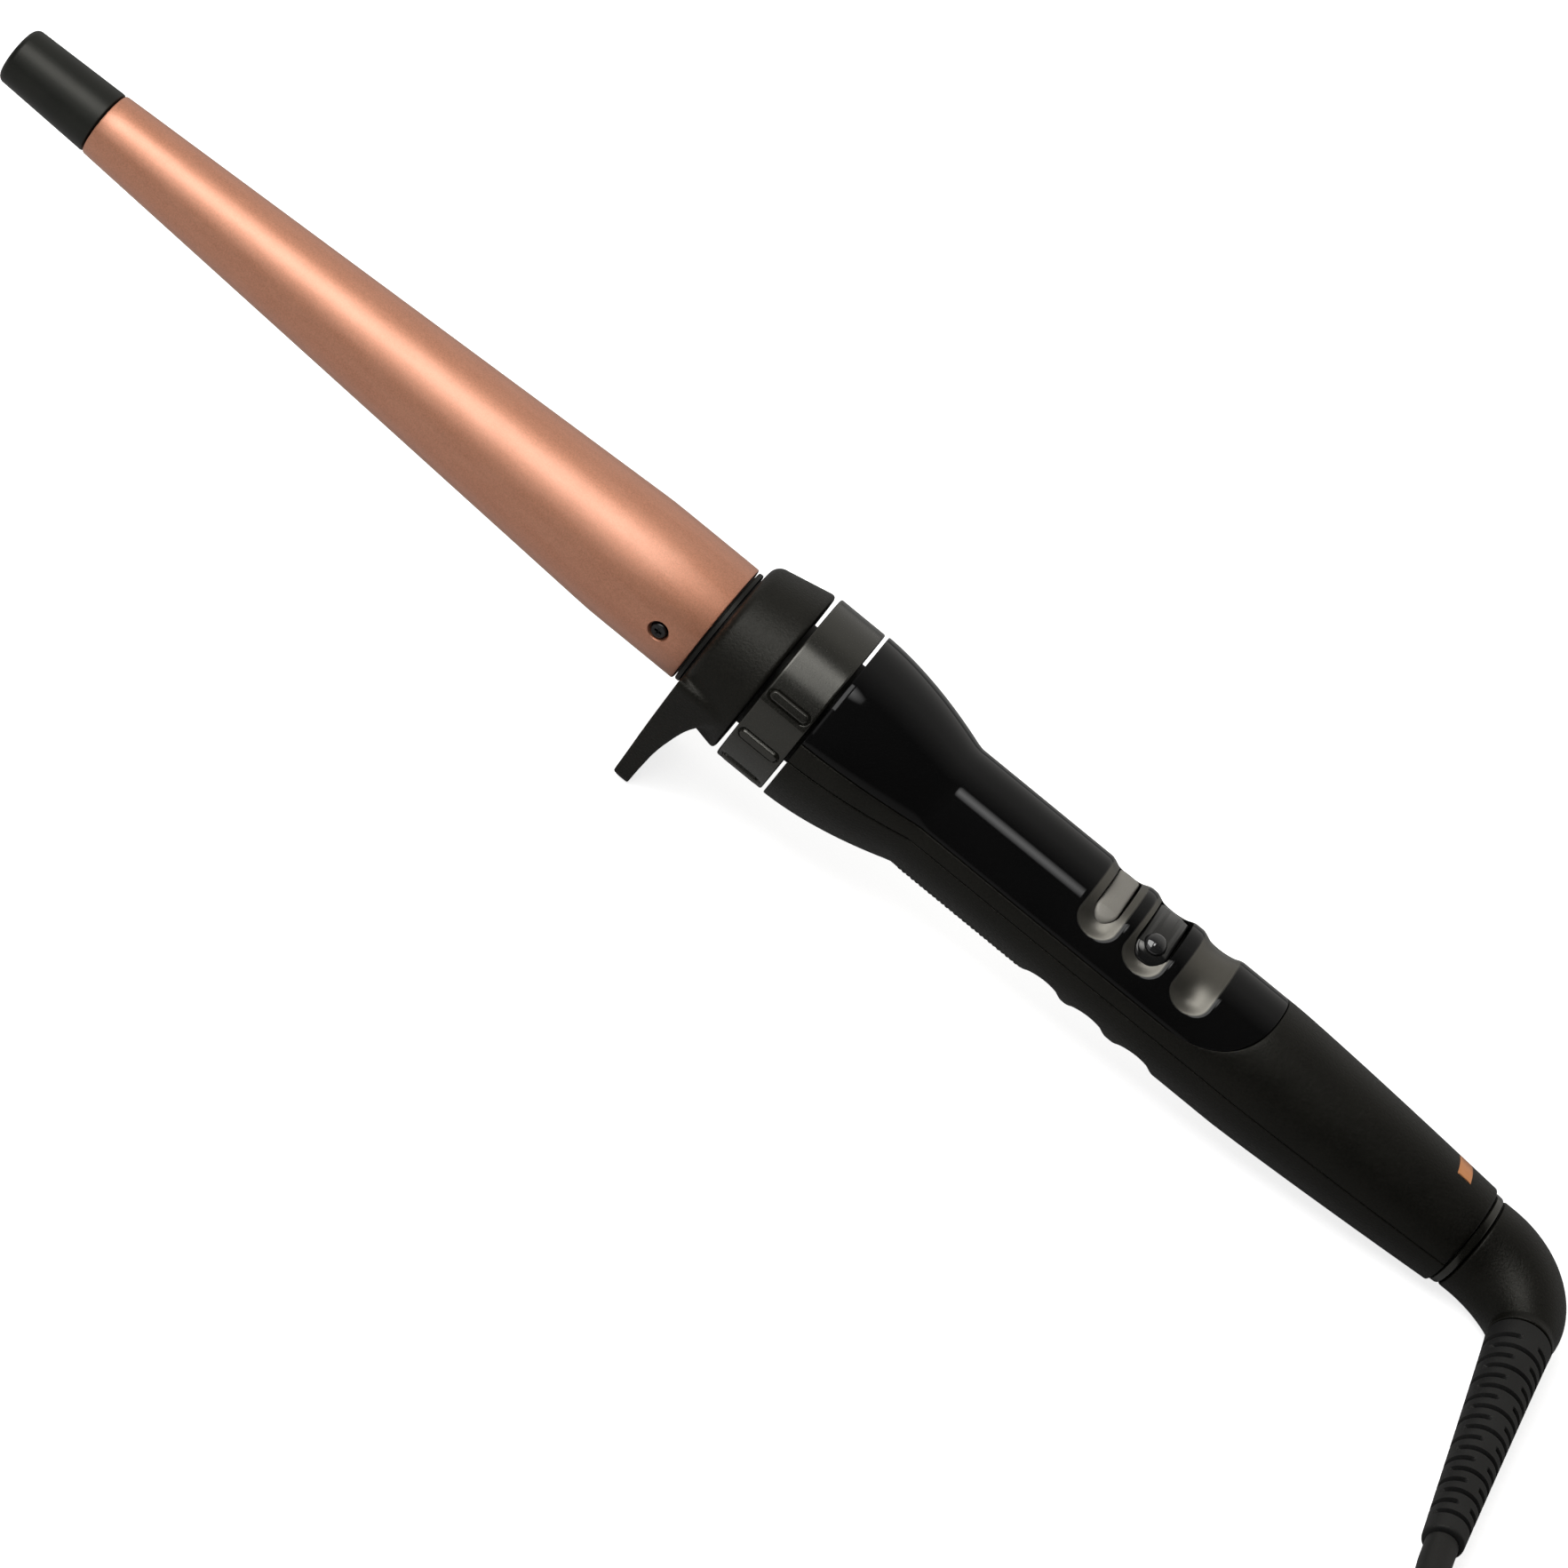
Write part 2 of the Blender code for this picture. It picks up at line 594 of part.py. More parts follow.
def panel_outline(grow):
    """Plan outline of the top panel: open to the front, with a rounded rear end."""
    half = GRIP_RADIUS + grow
    rear = []
    count = 24
    for i in range(count + 1):
        share = -1.0 + 2.0 * i / count
        turn = math.radians(PANEL_HALF_ANGLE * share)
        reach = PANEL_BEND_REACH * math.sqrt(1.0 - abs(share) ** 3) + grow
        rear.append((PANEL_BEND_START + reach, -half * math.sin(turn)))
    front = [(HANDLE_START - 5.0, -30.0), (HANDLE_START - 5.0, 30.0)]
    shoulder = 225.0
    near = [(shoulder, 30.0), (shoulder, half), (PANEL_BEND_START + grow, half)]
    far = [(x, -y) for x, y in reversed(near)]
    return near + rear + far + front


def panel_region(name, grow):
    """The space within the panel's plan outline and its two side planes."""
    region = extruded(name, panel_outline(grow), 0.5, 30.0, PLAN)
    angle = PANEL_HALF_ANGLE + math.degrees(grow / GRIP_RADIUS)
    fan = [(0.0, 0.0)] + [polar(a, 80.0) for a in (-angle, -40.0, 40.0, angle)]
    wedge = extruded(f"{name}_sides", fan, 180.0, 300.0, FRONT)
    return combine(region, "INTERSECT", wedge)


def thumb_groove(name, x, underside):
    """Cutter for one groove across the grip: a bent bar with round ends."""
    rows = []
    end = 4
    for i in range(end):
        tilt = math.radians(90.0 * (i + 0.4) / end)
        rows.append((-GROOVE_ARC, -GROOVE_TUBE_RADIUS * math.cos(tilt), GROOVE_TUBE_RADIUS * math.sin(tilt)))
    steps = 13
    for i in range(steps + 1):
        rows.append((-GROOVE_ARC + 2 * GROOVE_ARC * i / steps, 0.0, GROOVE_TUBE_RADIUS))
    for _, back, radius in rows[end - 1::-1]:
        rows.append((GROOVE_ARC, -back, radius))
    points, radii = [], []
    for angle, past, radius in rows:
        y, z = polar(angle, GROOVE_RING_RADIUS)
        dy, dz = polar(angle + 90.0, past)
        points.append((x, y + dy, z + dz))
        radii.append(radius)
    cutter = tube(name, points, GROOVE_TUBE_RADIUS, radii=radii, resolution=8)
    if underside:
        cutter.data.transform(Matrix.Rotation(math.radians(180.0), 4, "X"))
    return cutter


def button_outline(button, grow=0.0):
    return rounded_bar(button["x"], button["width"] + 2 * grow, button["half_length"] + grow,
                       button["corner"] + grow)


def button_slot(name, button):
    return extruded(name, button_outline(button, BUTTON_GAP), 3.0, 30.0, PLAN)


def handle_shell_profile(wall_line):
    """Section of a whole shell: its outside, the bush's seat, and the given inner wall."""
    edge = 0.45
    outside = [(HANDLE_START, FLARE_RADIUS - edge), (HANDLE_START + edge, FLARE_RADIUS)]
    outside += [(x, handle_radius(x)) for x in handle_stations(HANDLE_END - 1.0) if x > HANDLE_START + 1]
    outside += [(HANDLE_END - 0.6, TAIL_RADIUS), (HANDLE_END, TAIL_RADIUS - 0.6)]
    seat_end = 329.8
    tail = [(HANDLE_END, TAIL_BORE), (seat_end, TAIL_BORE), (seat_end, 8.7), (312.0, 10.1), (296.0, 10.9),
            (290.0, 10.9)]
    return outside + tail + wall_line + [(190.9, 12.0), (HANDLE_START, 12.0)]


def upper_shell():
    wall_line = [(288.5, 8.7), (FLARE_END, 8.7), (209.9, 9.9), (203.5, 11.5), (197.0, 12.7), (190.9, 13.3)]
    shell = turned("handle_upper_shell", handle_shell_profile(wall_line), "black_matte")
    top_half = block("upper_half", (180, -FAR, GAP * 0.5), (345, FAR, FAR))
    combine(shell, "INTERSECT", top_half)
    floor = [(x, handle_radius(x) - PANEL_THICKNESS - GAP) for x in handle_stations(TAIL_START + 1.0)]
    floor[0] = (HANDLE_START - 2.0, floor[0][1])
    pocket = turned("panel_pocket", [(floor[0][0], 28.0), (TAIL_START, 28.0)] + floor[::-1])
    combine(pocket, "INTERSECT", panel_region("pocket_region", GAP))
    combine(shell, "DIFFERENCE", pocket)
    for label, button in (("temperature", TEMPERATURE_BUTTON), ("power", POWER_BUTTON)):
        combine(shell, "DIFFERENCE", button_slot(f"shell_slot_{label}", button), solver="MANIFOLD")
    upward = Matrix.Rotation(math.radians(-90.0), 4, "Y")
    for label, (x, top) in BOSSES.items():
        boss_frame = Matrix.Translation((x * MM, 0, 0)) @ upward
        boss = turned(f"boss_{label}", [(-7.5, 0), (-7.5, 2.7), (top, 2.7), (top, 0)],
                      sides=SMALL_ROUND, frame=boss_frame)
        pilot = turned(f"pilot_{label}", [(-9.0, 0), (-9.0, 1.5), (1.0, 1.5), (1.0, 0)],
                       sides=SMALL_ROUND, frame=boss_frame)
        combine(shell, "UNION", boss)
        combine(shell, "DIFFERENCE", pilot)


def lower_shell():
    wall_line = [(288.5, 10.4), (FLARE_END, 10.4), (209.9, 12.2), (203.5, 14.0), (197.0, 15.3), (190.9, 15.9)]
    shell = turned("handle_lower_shell", handle_shell_profile(wall_line), "black_matte")
    low_half = block("lower_half", (180, -FAR, -FAR), (345, FAR, -GAP * 0.5))
    combine(shell, "INTERSECT", low_half)
    for i, x in enumerate(GROOVE_CENTRES):
        combine(shell, "DIFFERENCE", thumb_groove(f"finger_groove_{i}", x, underside=True))
    upward = Matrix.Rotation(math.radians(-90.0), 4, "Y")
    for label, (x, _) in BOSSES.items():
        top = -handle_radius(x) + SCREW_SEAT_DEPTH
        hole_frame = Matrix.Translation((x * MM, 0, 0)) @ upward
        hole = [(-20, 0), (-20, 2.9), (top, 2.9), (top, 1.6), (-8, 1.6), (-8, 0)]
        combine(shell, "DIFFERENCE",
                turned(f"screw_hole_{label}", hole, sides=SMALL_ROUND, frame=hole_frame))


def handle_screws():
    downward = Matrix.Rotation(math.radians(90.0), 4, "Y")
    for label, (x, _) in BOSSES.items():
        seat = handle_radius(x) - SCREW_SEAT_DEPTH + GAP
        frame = Matrix.Translation((x * MM, 0, -seat * MM)) @ downward
        screw(f"handle_screw_{label}", frame, 2.5, 1.0, 1.15, 9.5, "black_steel")


def top_panel():
    """Glossy inlay with three thumb grooves; two of them have a button slot."""
    outside = [(x, handle_radius(x)) for x in handle_stations(TAIL_START + 1.0)]
    outside[0] = (HANDLE_START + 0.45, FLARE_RADIUS)
    outside.insert(0, (HANDLE_START, FLARE_RADIUS - 0.45))
    inside = [(x, r - PANEL_THICKNESS) for x, r in outside[1:]]
    inside[0] = (HANDLE_START, FLARE_RADIUS - PANEL_THICKNESS)
    panel = turned("top_panel", outside + inside[::-1], "black_gloss")
    combine(panel, "INTERSECT", panel_region("panel_region", 0.0))
    for i, x in enumerate(GROOVE_CENTRES):
        combine(panel, "DIFFERENCE", thumb_groove(f"thumb_groove_{i}", x, underside=False), solver="MANIFOLD")
    for label, button in (("temperature", TEMPERATURE_BUTTON), ("power", POWER_BUTTON)):
        combine(panel, "DIFFERENCE", button_slot(f"panel_slot_{label}", button), solver="MANIFOLD")


def push_button(name, button, material):
    """A round-cornered cap with a curved top and a plunger under its middle."""
    cap = extruded(name, button_outline(button), BUTTON_BOTTOM, 20.0, PLAN, material)
    crown = turned(f"{name}_crown", [(230, 0), (230, button["top"]), (290, button["top"]), (290, 0)])
    x = button["x"]
    plunger = block(f"{name}_plunger", (x - 1.2, -1.2, 5.3), (x + 1.2, 1.2, BUTTON_BOTTOM + 1.0))
    combine(cap, "INTERSECT", crown)
    combine(cap, "UNION", plunger)
    return cap


def buttons():
    push_button("temperature_button", TEMPERATURE_BUTTON, "grey_satin")
    power = push_button("power_button", POWER_BUTTON, "black_gloss")
    lens_frame = radial_frame(POWER_BUTTON["x"], LENS_ANGLE, POWER_BUTTON["top"] - 1.0)
    pocket_radius = LENS_RADIUS + GAP
    pocket = turned("lens_pocket", [(-GAP, 0), (-GAP, pocket_radius), (4, pocket_radius), (4, 0)],
                    sides=24, frame=lens_frame)
    combine(power, "DIFFERENCE", pocket)
    dome = [(0.9 + 0.9 * math.sin(t), LENS_RADIUS * math.cos(t))
            for t in (math.radians(90.0 * i / 4) for i in range(4))]
    turned("power_light_lens", [(0.0, 0.0), (0.0, LENS_RADIUS)] + dome + [(1.8, 0.0)], "smoked_lens",
           sides=24, frame=lens_frame)


def electronics():
    """Circuit board with the two key switches and the parts that drive the heater."""
    block("control_board", (BOARD_START, -7.6, BOARD_TOP - BOARD_THICKNESS), (BOARD_END, 7.6, BOARD_TOP),
          "board_green")
    upward = Matrix.Rotation(math.radians(-90.0), 4, "Y")
    base = BOARD_TOP + GAP
    for label, button in (("temperature", TEMPERATURE_BUTTON), ("power", POWER_BUTTON)):
        x = button["x"]
        case = block(f"{label}_key_switch", (x - 3.0, -3.0, base), (x + 3.0, 3.0, base + 3.4), "black_satin")
        stem = turned(f"{label}_key_stem", [(2.0, 0), (2.0, 1.5), (4.5, 1.5), (4.5, 0)], sides=16,
                      frame=Matrix.Translation((x * MM, 0, 0)) @ upward)
        combine(case, "UNION", stem)
    block("power_triac", (234, -3.0, base), (241, 3.0, base + 4.2), "black_satin", bevel=0.3)
    capacitor_frame = Matrix.Translation((0, 0, 3.6 * MM))
    can = [(270, 0), (270, 3.2), (271, 3.4), (283, 3.4), (283.5, 3.0), (283.5, 0)]
    turned("smoothing_capacitor", can, "aluminium", sides=24, frame=capacitor_frame)
    led = [(1.2, 0), (1.2, 1.3), (2.9, 1.3), (3.7, 0.9), (4.1, 0)]
    turned("indicator_lamp", led, "white_plastic", sides=16,
           frame=Matrix.Translation((POWER_BUTTON["x"] * MM, -5.2 * MM, 0)) @ upward)
    low = BOARD_TOP - BOARD_THICKNESS - GAP
    block("spark_filter", (262, -4.5, low - 4.6), (276, 4.5, low), "white_plastic", bevel=0.4)


# ---------------------------------------------------------------- wiring inside

def inner_wires():
    """Heater wires along the axis, and mains wires from the swivel's contacts."""
    for label, side, material in (("live", -1, "red_wire"), ("neutral", 1, "blue_wire")):
        heater_route = [(132.0, 2.4 * side, 0.0), (146.0, 3.2 * side, 0.0), (196.0, 4.5 * side, 0.0),
                        (212.0, 5.4 * side, 0.0), (228.5, 5.4 * side, -1.2)]
        tube(f"heater_wire_{label}", heater_route, WIRE_RADIUS, material)
        mains_route = [(288.5, 5.0 * side, -1.2), (294.0, 5.4 * side, -1.2), (303.0, 5.4 * side, -1.0),
                       (308.7, 5.2 * side, 0.0)]
        tube(f"mains_wire_{label}", mains_route, WIRE_RADIUS, material)


# ---------------------------------------------------------------- swivel outlet

def swivel_bush():
    bore = SWIVEL_STEM_RADIUS + 0.35
    profile = [(322.8, 7.3), (323.3, 7.6), (HANDLE_END + GAP, 7.6), (HANDLE_END + GAP, 9.75)]
    profile += [(338.0, 9.6), (338.25, 9.3), (338.25, bore), (322.8, bore)]
    turned("swivel_bush", profile, "black_satin")


def swivel_contacts():
    """Stepped pin that turns with the outlet, and the two fixed blades that rub on it."""
    pin = [(304.5, 0), (305.5, 1.6), (311.0, 1.6), (311.0, 2.6), (319.5, 2.6), (319.5, 0)]
    turned("contact_pin", pin, "brass", sides=24)
    reach = 1.9
    thickness = 0.6
    for label, side in (("live", -1), ("neutral", 1)):
        blade = [(302.8, reach), (310.4, reach), (310.4, reach + thickness), (303.4, reach + thickness),
                 (303.4, 4.3), (302.8, 4.3)]
        outline = [(x, side * y) for x, y in blade]
        extruded(f"contact_blade_{label}", outline, -1.5, 1.5, PLAN, "brass")


def elbow_path(count):
    """Centre of the bent outlet as (point, direction angle) pairs, ending at its rim."""
    start = OUTLET_START + ELBOW_STRAIGHT
    rows = [((OUTLET_START, 0.0, 0.0), 0.0)]
    for i in range(count + 1):
        angle = ELBOW_BEND * i / count
        turn = math.radians(angle)
        point = (start + ELBOW_BEND_RADIUS * math.sin(turn),
                 -ELBOW_BEND_RADIUS * (1.0 - math.cos(turn)), 0.0)
        rows.append((point, angle))
    return rows


def along_outlet(distance):
    """A point on the straight line out of the elbow, from the end of its bend."""
    (x, y, z), _ = elbow_path(1)[-1]
    turn = math.radians(ELBOW_BEND)
    return (x + distance * math.cos(turn), y - distance * math.sin(turn), z)


def swivel_elbow():
    """Bent, tapering outlet on a hollow stem that turns in the bush."""
    rows = elbow_path(10)
    radii = [ELBOW_RADIUS - (ELBOW_RADIUS - OUTLET_RADIUS) * (angle / ELBOW_BEND) ** 2.2
             for _, angle in rows]
    points = [point for point, _ in rows] + [along_outlet(OUTLET_RIM)]
    elbow = tube("swivel_elbow", points, ELBOW_RADIUS, "black_matte", radii=radii + [OUTLET_RADIUS],
                 resolution=10)
    stem = turned("swivel_stem", [(320.0, 0), (320.0, 6.9), (322.4, 6.9), (322.4, SWIVEL_STEM_RADIUS),
                                  (340.0, SWIVEL_STEM_RADIUS), (340.0, 0)], sides=32)
    bore_points = [(318.0, 0.0, 0.0)] + [point for point, _ in rows] + [along_outlet(OUTLET_RIM + 3.0)]
    bore = tube("swivel_bore", bore_points, OUTLET_BORE, resolution=4)
    combine(elbow, "UNION", stem)
    combine(elbow, "DIFFERENCE", bore)


def strain_relief():
    """Tapered rubber sleeve: a plug inside the elbow, then the sleeve that guards the cord."""
    rim = OUTLET_RIM + GAP
    taper = SLEEVE_START_RADIUS - SLEEVE_END_RADIUS
    steps = [(rim - 5.0, SLEEVE_PLUG_RADIUS), (rim - 0.02, SLEEVE_PLUG_RADIUS), (rim, SLEEVE_START_RADIUS)]
    count = 8
    for i in range(1, count + 1):
        share = i / count
        steps.append((rim + SLEEVE_LENGTH * share, SLEEVE_START_RADIUS - taper * share ** 0.9))
    tube("strain_relief", [along_outlet(d) for d, _ in steps], SLEEVE_START_RADIUS, "black_rubber",
         radii=[r for _, r in steps], resolution=4)


def inner_cord():
    """The cord's last stretch inside the elbow, up to the contact pin."""
    points = [(321.0, 0.0, 0.0)] + [point for point, _ in elbow_path(8)[:-2]]
    tube("inner_cord", points, 2.8, "black_rubber")


# ---------------------------------------------------------------- cord and plug

def free_cord():
    """The cord from the sleeve to the coil, and the outer shape of the coil."""
    path = smooth_path(CORD_ROUTE, 7.0)
    tube("power_cord", path, CORD_RADIUS, "black_rubber", parent=None)
    upright = Matrix.Rotation(math.radians(-90.0), 4, "Y")
    centre = Matrix.Translation(Vector((*COIL_CENTRE, 0.0)) * MM)
    low = TABLE_CLEARANCE
    edge = 2.0
    ring = [(low, COIL_OUTER_RADIUS - edge), (low + edge, COIL_OUTER_RADIUS)]
    ring += [(COIL_HEIGHT - edge, COIL_OUTER_RADIUS), (COIL_HEIGHT, COIL_OUTER_RADIUS - edge)]
    ring += [(COIL_HEIGHT, COIL_INNER_RADIUS + edge), (COIL_HEIGHT - edge, COIL_INNER_RADIUS)]
    ring += [(low + edge, COIL_INNER_RADIUS), (low, COIL_INNER_RADIUS + edge)]
    turned("cord_coil", ring, "black_rubber", sides=40, frame=centre @ upright, parent=None)


def coil_point(angle, radius, height):
    turn = math.radians(angle)
    return (COIL_CENTRE[0] + radius * math.cos(turn), COIL_CENTRE[1] + radius * math.sin(turn), height)


def plug_bend(share):
    """Centre of the cord's last bend: it leaves the outer turn and crosses the coil's top."""
    leave = PLUG_HEADING - 90.0 - PLUG_BEND
    x, y, _ = coil_point(leave, COIL_TURN_RADIUS - PLUG_BEND_RADIUS, 0.0)
    turn = math.radians(leave + PLUG_BEND * share)
    lying = COIL_HEIGHT + GAP + CORD_RADIUS + 0.05
    height = lying + (PLUG_AXIS_HEIGHT - lying) * max(0.0, (share - 0.35) / 0.65)
    return (x + PLUG_BEND_RADIUS * math.cos(turn), y + PLUG_BEND_RADIUS * math.sin(turn), height)


def plug_frame():
    """Frame with its origin where the cord enters the plug, and +X towards the pins."""
    place = Matrix.Translation(Vector(plug_bend(1.0)) * MM)
    return place @ Matrix.Rotation(math.radians(PLUG_HEADING), 4, "Z")


def plug_cord():
    """The cord's stretch across the top of the coil, up to the plug."""
    first = 0.36
    points = [plug_bend(first + (0.985 - first) * i / 7) for i in range(8)]
    tube("plug_cord", points, CORD_RADIUS, "black_rubber", parent=None)


def mains_plug():
    """Flat two-pin plug lying on the coil."""
    frame = plug_frame()
    length, width, height = PLUG_BODY
    low = (PLUG_TAIL, -width / 2, -height / 2)
    high = (PLUG_TAIL + length, width / 2, height / 2)
    body = block("mains_plug", low, high, "black_satin", bevel=2.0, parent=None)
    body.matrix_world = frame @ Matrix.Translation(((PLUG_TAIL + length / 2) * MM, 0.0, 0.0))
    tail_profile = [(0.0, 0), (0.0, 3.9), (PLUG_TAIL, 5.0), (PLUG_TAIL + 4.0, 5.2), (PLUG_TAIL + 4.0, 0)]
    combine(body, "UNION", turned("plug_tail", tail_profile, sides=24, frame=frame, parent=None))
    start = PLUG_TAIL + length + GAP
    for label, side in (("near", -1), ("far", 1)):
        pin = [(0.0, 0.0), (0.0, PIN_RADIUS), (PIN_LENGTH - 1.6, PIN_RADIUS)]
        pin += [(PIN_LENGTH - 0.6, PIN_RADIUS * 0.7), (PIN_LENGTH, 0.0)]
        place_pin = frame @ Matrix.Translation((start * MM, side * PIN_SPACING / 2 * MM, 0.0))
        turned(f"plug_pin_{label}", pin, "brass", sides=SMALL_ROUND, frame=place_pin, parent=None)


cool_tip()
barrel()
barrel_screws()
heater_plate()
heat_spreaders()
thrust_spring()
heat_sensors()
barrel_carrier()
collar_stand()
temperature_dial()
dial_contacts()
upper_shell()
lower_shell()
handle_screws()
top_panel()
buttons()
electronics()
inner_wires()
swivel_bush()
swivel_contacts()
swivel_elbow()
strain_relief()
inner_cord()
free_cord()
plug_cord()
mains_plug()
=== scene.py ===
"""Looks of the curling wand: fine surfaces, materials, cord, light and camera.

Lengths are millimetres in the wand's own frame unless a name says otherwise: +X runs
along the axis from the cool tip, +Z is up through the buttons, and angles are degrees
from the top, turning towards -Y.  The frame is tilted so that the wand stands on its foot.
"""
import math

import bmesh
import bpy
import numpy as np
from mathutils import Matrix, Vector


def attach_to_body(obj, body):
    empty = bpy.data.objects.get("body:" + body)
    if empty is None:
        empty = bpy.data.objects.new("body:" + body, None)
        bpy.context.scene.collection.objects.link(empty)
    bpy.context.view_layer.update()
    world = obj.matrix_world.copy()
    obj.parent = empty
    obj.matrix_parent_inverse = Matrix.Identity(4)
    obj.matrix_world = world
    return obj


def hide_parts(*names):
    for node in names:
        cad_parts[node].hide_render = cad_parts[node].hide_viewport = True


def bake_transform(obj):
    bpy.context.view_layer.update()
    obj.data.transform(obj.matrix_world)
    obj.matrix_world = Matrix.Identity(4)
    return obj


MM = 0.001

# view and light
CAMERA_DISTANCE = 987.0
CAMERA_LENS = 125.7
CAMERA_RISE = 38.0           # the view's height above the wand's side
CAMERA_ROLL = 39.3
VIEW_MIDDLE = (190.35, 14.5)  # along the axis, and across it towards the foot
WORLD_FRONT = (0.015, 0.015, 0.015)
WORLD_BACK = (0.55, 0.54, 0.52)
FLOOR_GLOW = 0.93            # what the floor shows the camera on top of the light it gets

# positions along the axis
TIP_END = 20.0
TAPER_END = 143.0
BARREL_END = 162.6
BARREL_SCREW_X = 155.7
COLLAR_START = 164.2
COLLAR_END = 176.4
DIAL_START = 177.3
DIAL_END = 187.6
HANDLE_START = 188.3
FLARE_END = 213.8
TAIL_START = 288.0
HANDLE_END = 336.3
OUTLET_START = 338.6

# radii
TIP_RADIUS = 5.75
TIP_JOINT_RADIUS = 6.4
BARREL_FRONT_RADIUS = 6.45
BARREL_RADIUS = 12.5
BARREL_WALL = 1.3
COLLAR_FRONT_RADIUS = 15.6
COLLAR_REAR_RADIUS = 17.6
COLLAR_BORE = 11.5
DIAL_RADIUS = 17.85
FLARE_RADIUS = 18.0
GRIP_RADIUS = 13.1
TAIL_RADIUS = 10.35
TAIL_BORE = 7.95

# stand foot
FOOT_FLAT = (167.4, -33.8)
FOOT_FLAT_HALF = 0.6
STAND_TILT = 7.80
FOOT_TIP_HALF_WIDTH = 10.8
FOOT_ROOT_HALF_WIDTH = 17.3

# top panel, grooves and buttons
PANEL_HALF_ANGLE = 75.0
PANEL_BEND_START = 270.0
PANEL_BEND_REACH = 15.6
PANEL_THICKNESS = 2.4
POCKET_DEPTH = 2.75
SEAM = 0.14
FILLET = 0.25
TAIL_FILLET = 0.6
GROOVE_CENTRES = (249.0, 259.3, 270.2)
GROOVE_TUBE_RADIUS = 6.5
GROOVE_RING_RADIUS = 18.3
GROOVE_ARC = 42.0
GROOVE_BLEND = 0.8
TEMPERATURE_BUTTON = {"x": 249.2, "width": 4.5, "half_length": 7.7, "top": 12.25, "corner": 2.1}
POWER_BUTTON = {"x": 259.8, "width": 6.6, "half_length": 8.3, "top": 12.0, "corner": 2.4}
BUTTON_GAP = 0.25
GRIP_WALL = 2.45
HANDLE_SCREWS = {"front": 221.0, "rear": 300.0}
GRIP_TEXTURE = {"span": (215.0, 244.5), "half_angle": 50.0, "pitch": 1.0, "rise": 0.2}
LENS_ANGLE = 25.0
LENS_RADIUS = 2.1

# dial
DIAL_BORE = 11.6
DIAL_WALL = 2.0
DIAL_WEB = 2.4
RIB_ANGLES = (62.8, 94.5, 127.0)
RIB_HALF_LENGTH = 4.2
RIB_HALF_WIDTH = 1.0
RIB_RISE = 0.5
RIB_RECESS = 0.35

# copper bar
COPPER_BAR_X = 327.9
COPPER_BAR_WIDTH = 3.1
COPPER_BAR_ANGLES = (-28.0, 5.0)
COPPER_BAR_SLANT = 0.03      # millimetres along the axis for a degree around it

# swivel outlet
ELBOW_BEND = 86.0
ELBOW_BEND_RADIUS = 13.8
ELBOW_STRAIGHT = 2.4
ELBOW_RADIUS = 9.5
OUTLET_RADIUS = 6.15
OUTLET_RIM = 1.7
SLEEVE_LENGTH = 56.0
SLEEVE_START_RADIUS = 6.1
SLEEVE_END_RADIUS = 3.8
SLEEVE_PITCH = 2.8
BEND_LENGTH = math.radians(ELBOW_BEND) * ELBOW_BEND_RADIUS
RIM_POSITION = ELBOW_STRAIGHT + BEND_LENGTH + OUTLET_RIM
SLEEVE_ORIGIN = RIM_POSITION + 0.3

# cord, in world millimetres
CORD_RADIUS = 3.0
CORD_ROUTE = (
    (194.25, -71.1, 7.5),
    (194.9, -81.0, 7.0),
    (199.0, -90.4, 5.9),
    (206.4, -97.5, 4.6),
    (215.9, -101.3, 3.6),
    (228.0, -102.0, 3.05),
    (241.0, -101.8, 3.05),
    (254.0, -101.5, 3.05),
    (265.6, -101.8, 3.05),
)
COIL_CENTRE = (303.0, -60.0)
COIL_RADII = (51.0, 44.6, 25.5)  # where the cord arrives, the top layer's outer turn, the inner turn
COIL_PITCH = 6.375           # between neighbouring turns
COIL_TURNS = 7
STEPS_PER_TURN = 60
CLIMB_TURN = 4               # after so many turns the cord climbs to the upper layer
COIL_LAYERS = (3.08, 9.3)
COIL_ARRIVAL = -115.0        # angle of the cord's arrival, seen from above
PLUG_BEND_RADIUS = 28.0      # the cord's last bend, on top of the coil
PLUG_BEND = 150.0
PLUG_HEADING = 215.0
CORD_LYING_HEIGHT = 15.7     # of the last bend, on the coil's upper layer
PLUG_AXIS_HEIGHT = 19.7
PLUG_TAIL = 11.0
PLUG_BODY = 35.0
PIN_LENGTH = 19.0
PIN_SPACING = 19.0
PIN_RADIUS = 2.0


# ---------------------------------------------------------------- frames

def wand_frame():
    """The wand's frame in the world: tilted, with the foot's flat at the world's origin."""
    tilt = Matrix.Rotation(math.radians(STAND_TILT), 4, "Y")
    flat = Vector((FOOT_FLAT[0], 0.0, FOOT_FLAT[1])) * MM
    return Matrix.Translation(-(tilt @ flat)) @ tilt


WAND = wand_frame()
WORLD = Matrix.Identity(4)


def polar(angle, radius):
    """Y and Z of a point at an angle from the top, turning towards -Y."""
    turn = math.radians(angle)
    return -radius * math.sin(turn), radius * math.cos(turn)


def around(x, angle, radius):
    """Points in the wand's frame from arrays of axial position, angle and radius."""
    turn = np.radians(angle)
    return np.stack(np.broadcast_arrays(x, -radius * np.sin(turn), radius * np.cos(turn)), axis=-1)


def radial_frame(x, angle, radius):
    """A frame in millimetres whose +X points away from the wand's axis."""
    outward = Vector((0.0, *polar(angle, 1.0)))
    along = Vector((1.0, 0.0, 0.0))
    turn = Matrix((outward, outward.cross(along), -along)).transposed().to_4x4()
    return Matrix.Translation((x, *polar(angle, radius))) @ turn


# ---------------------------------------------------------------- camera, floor and light

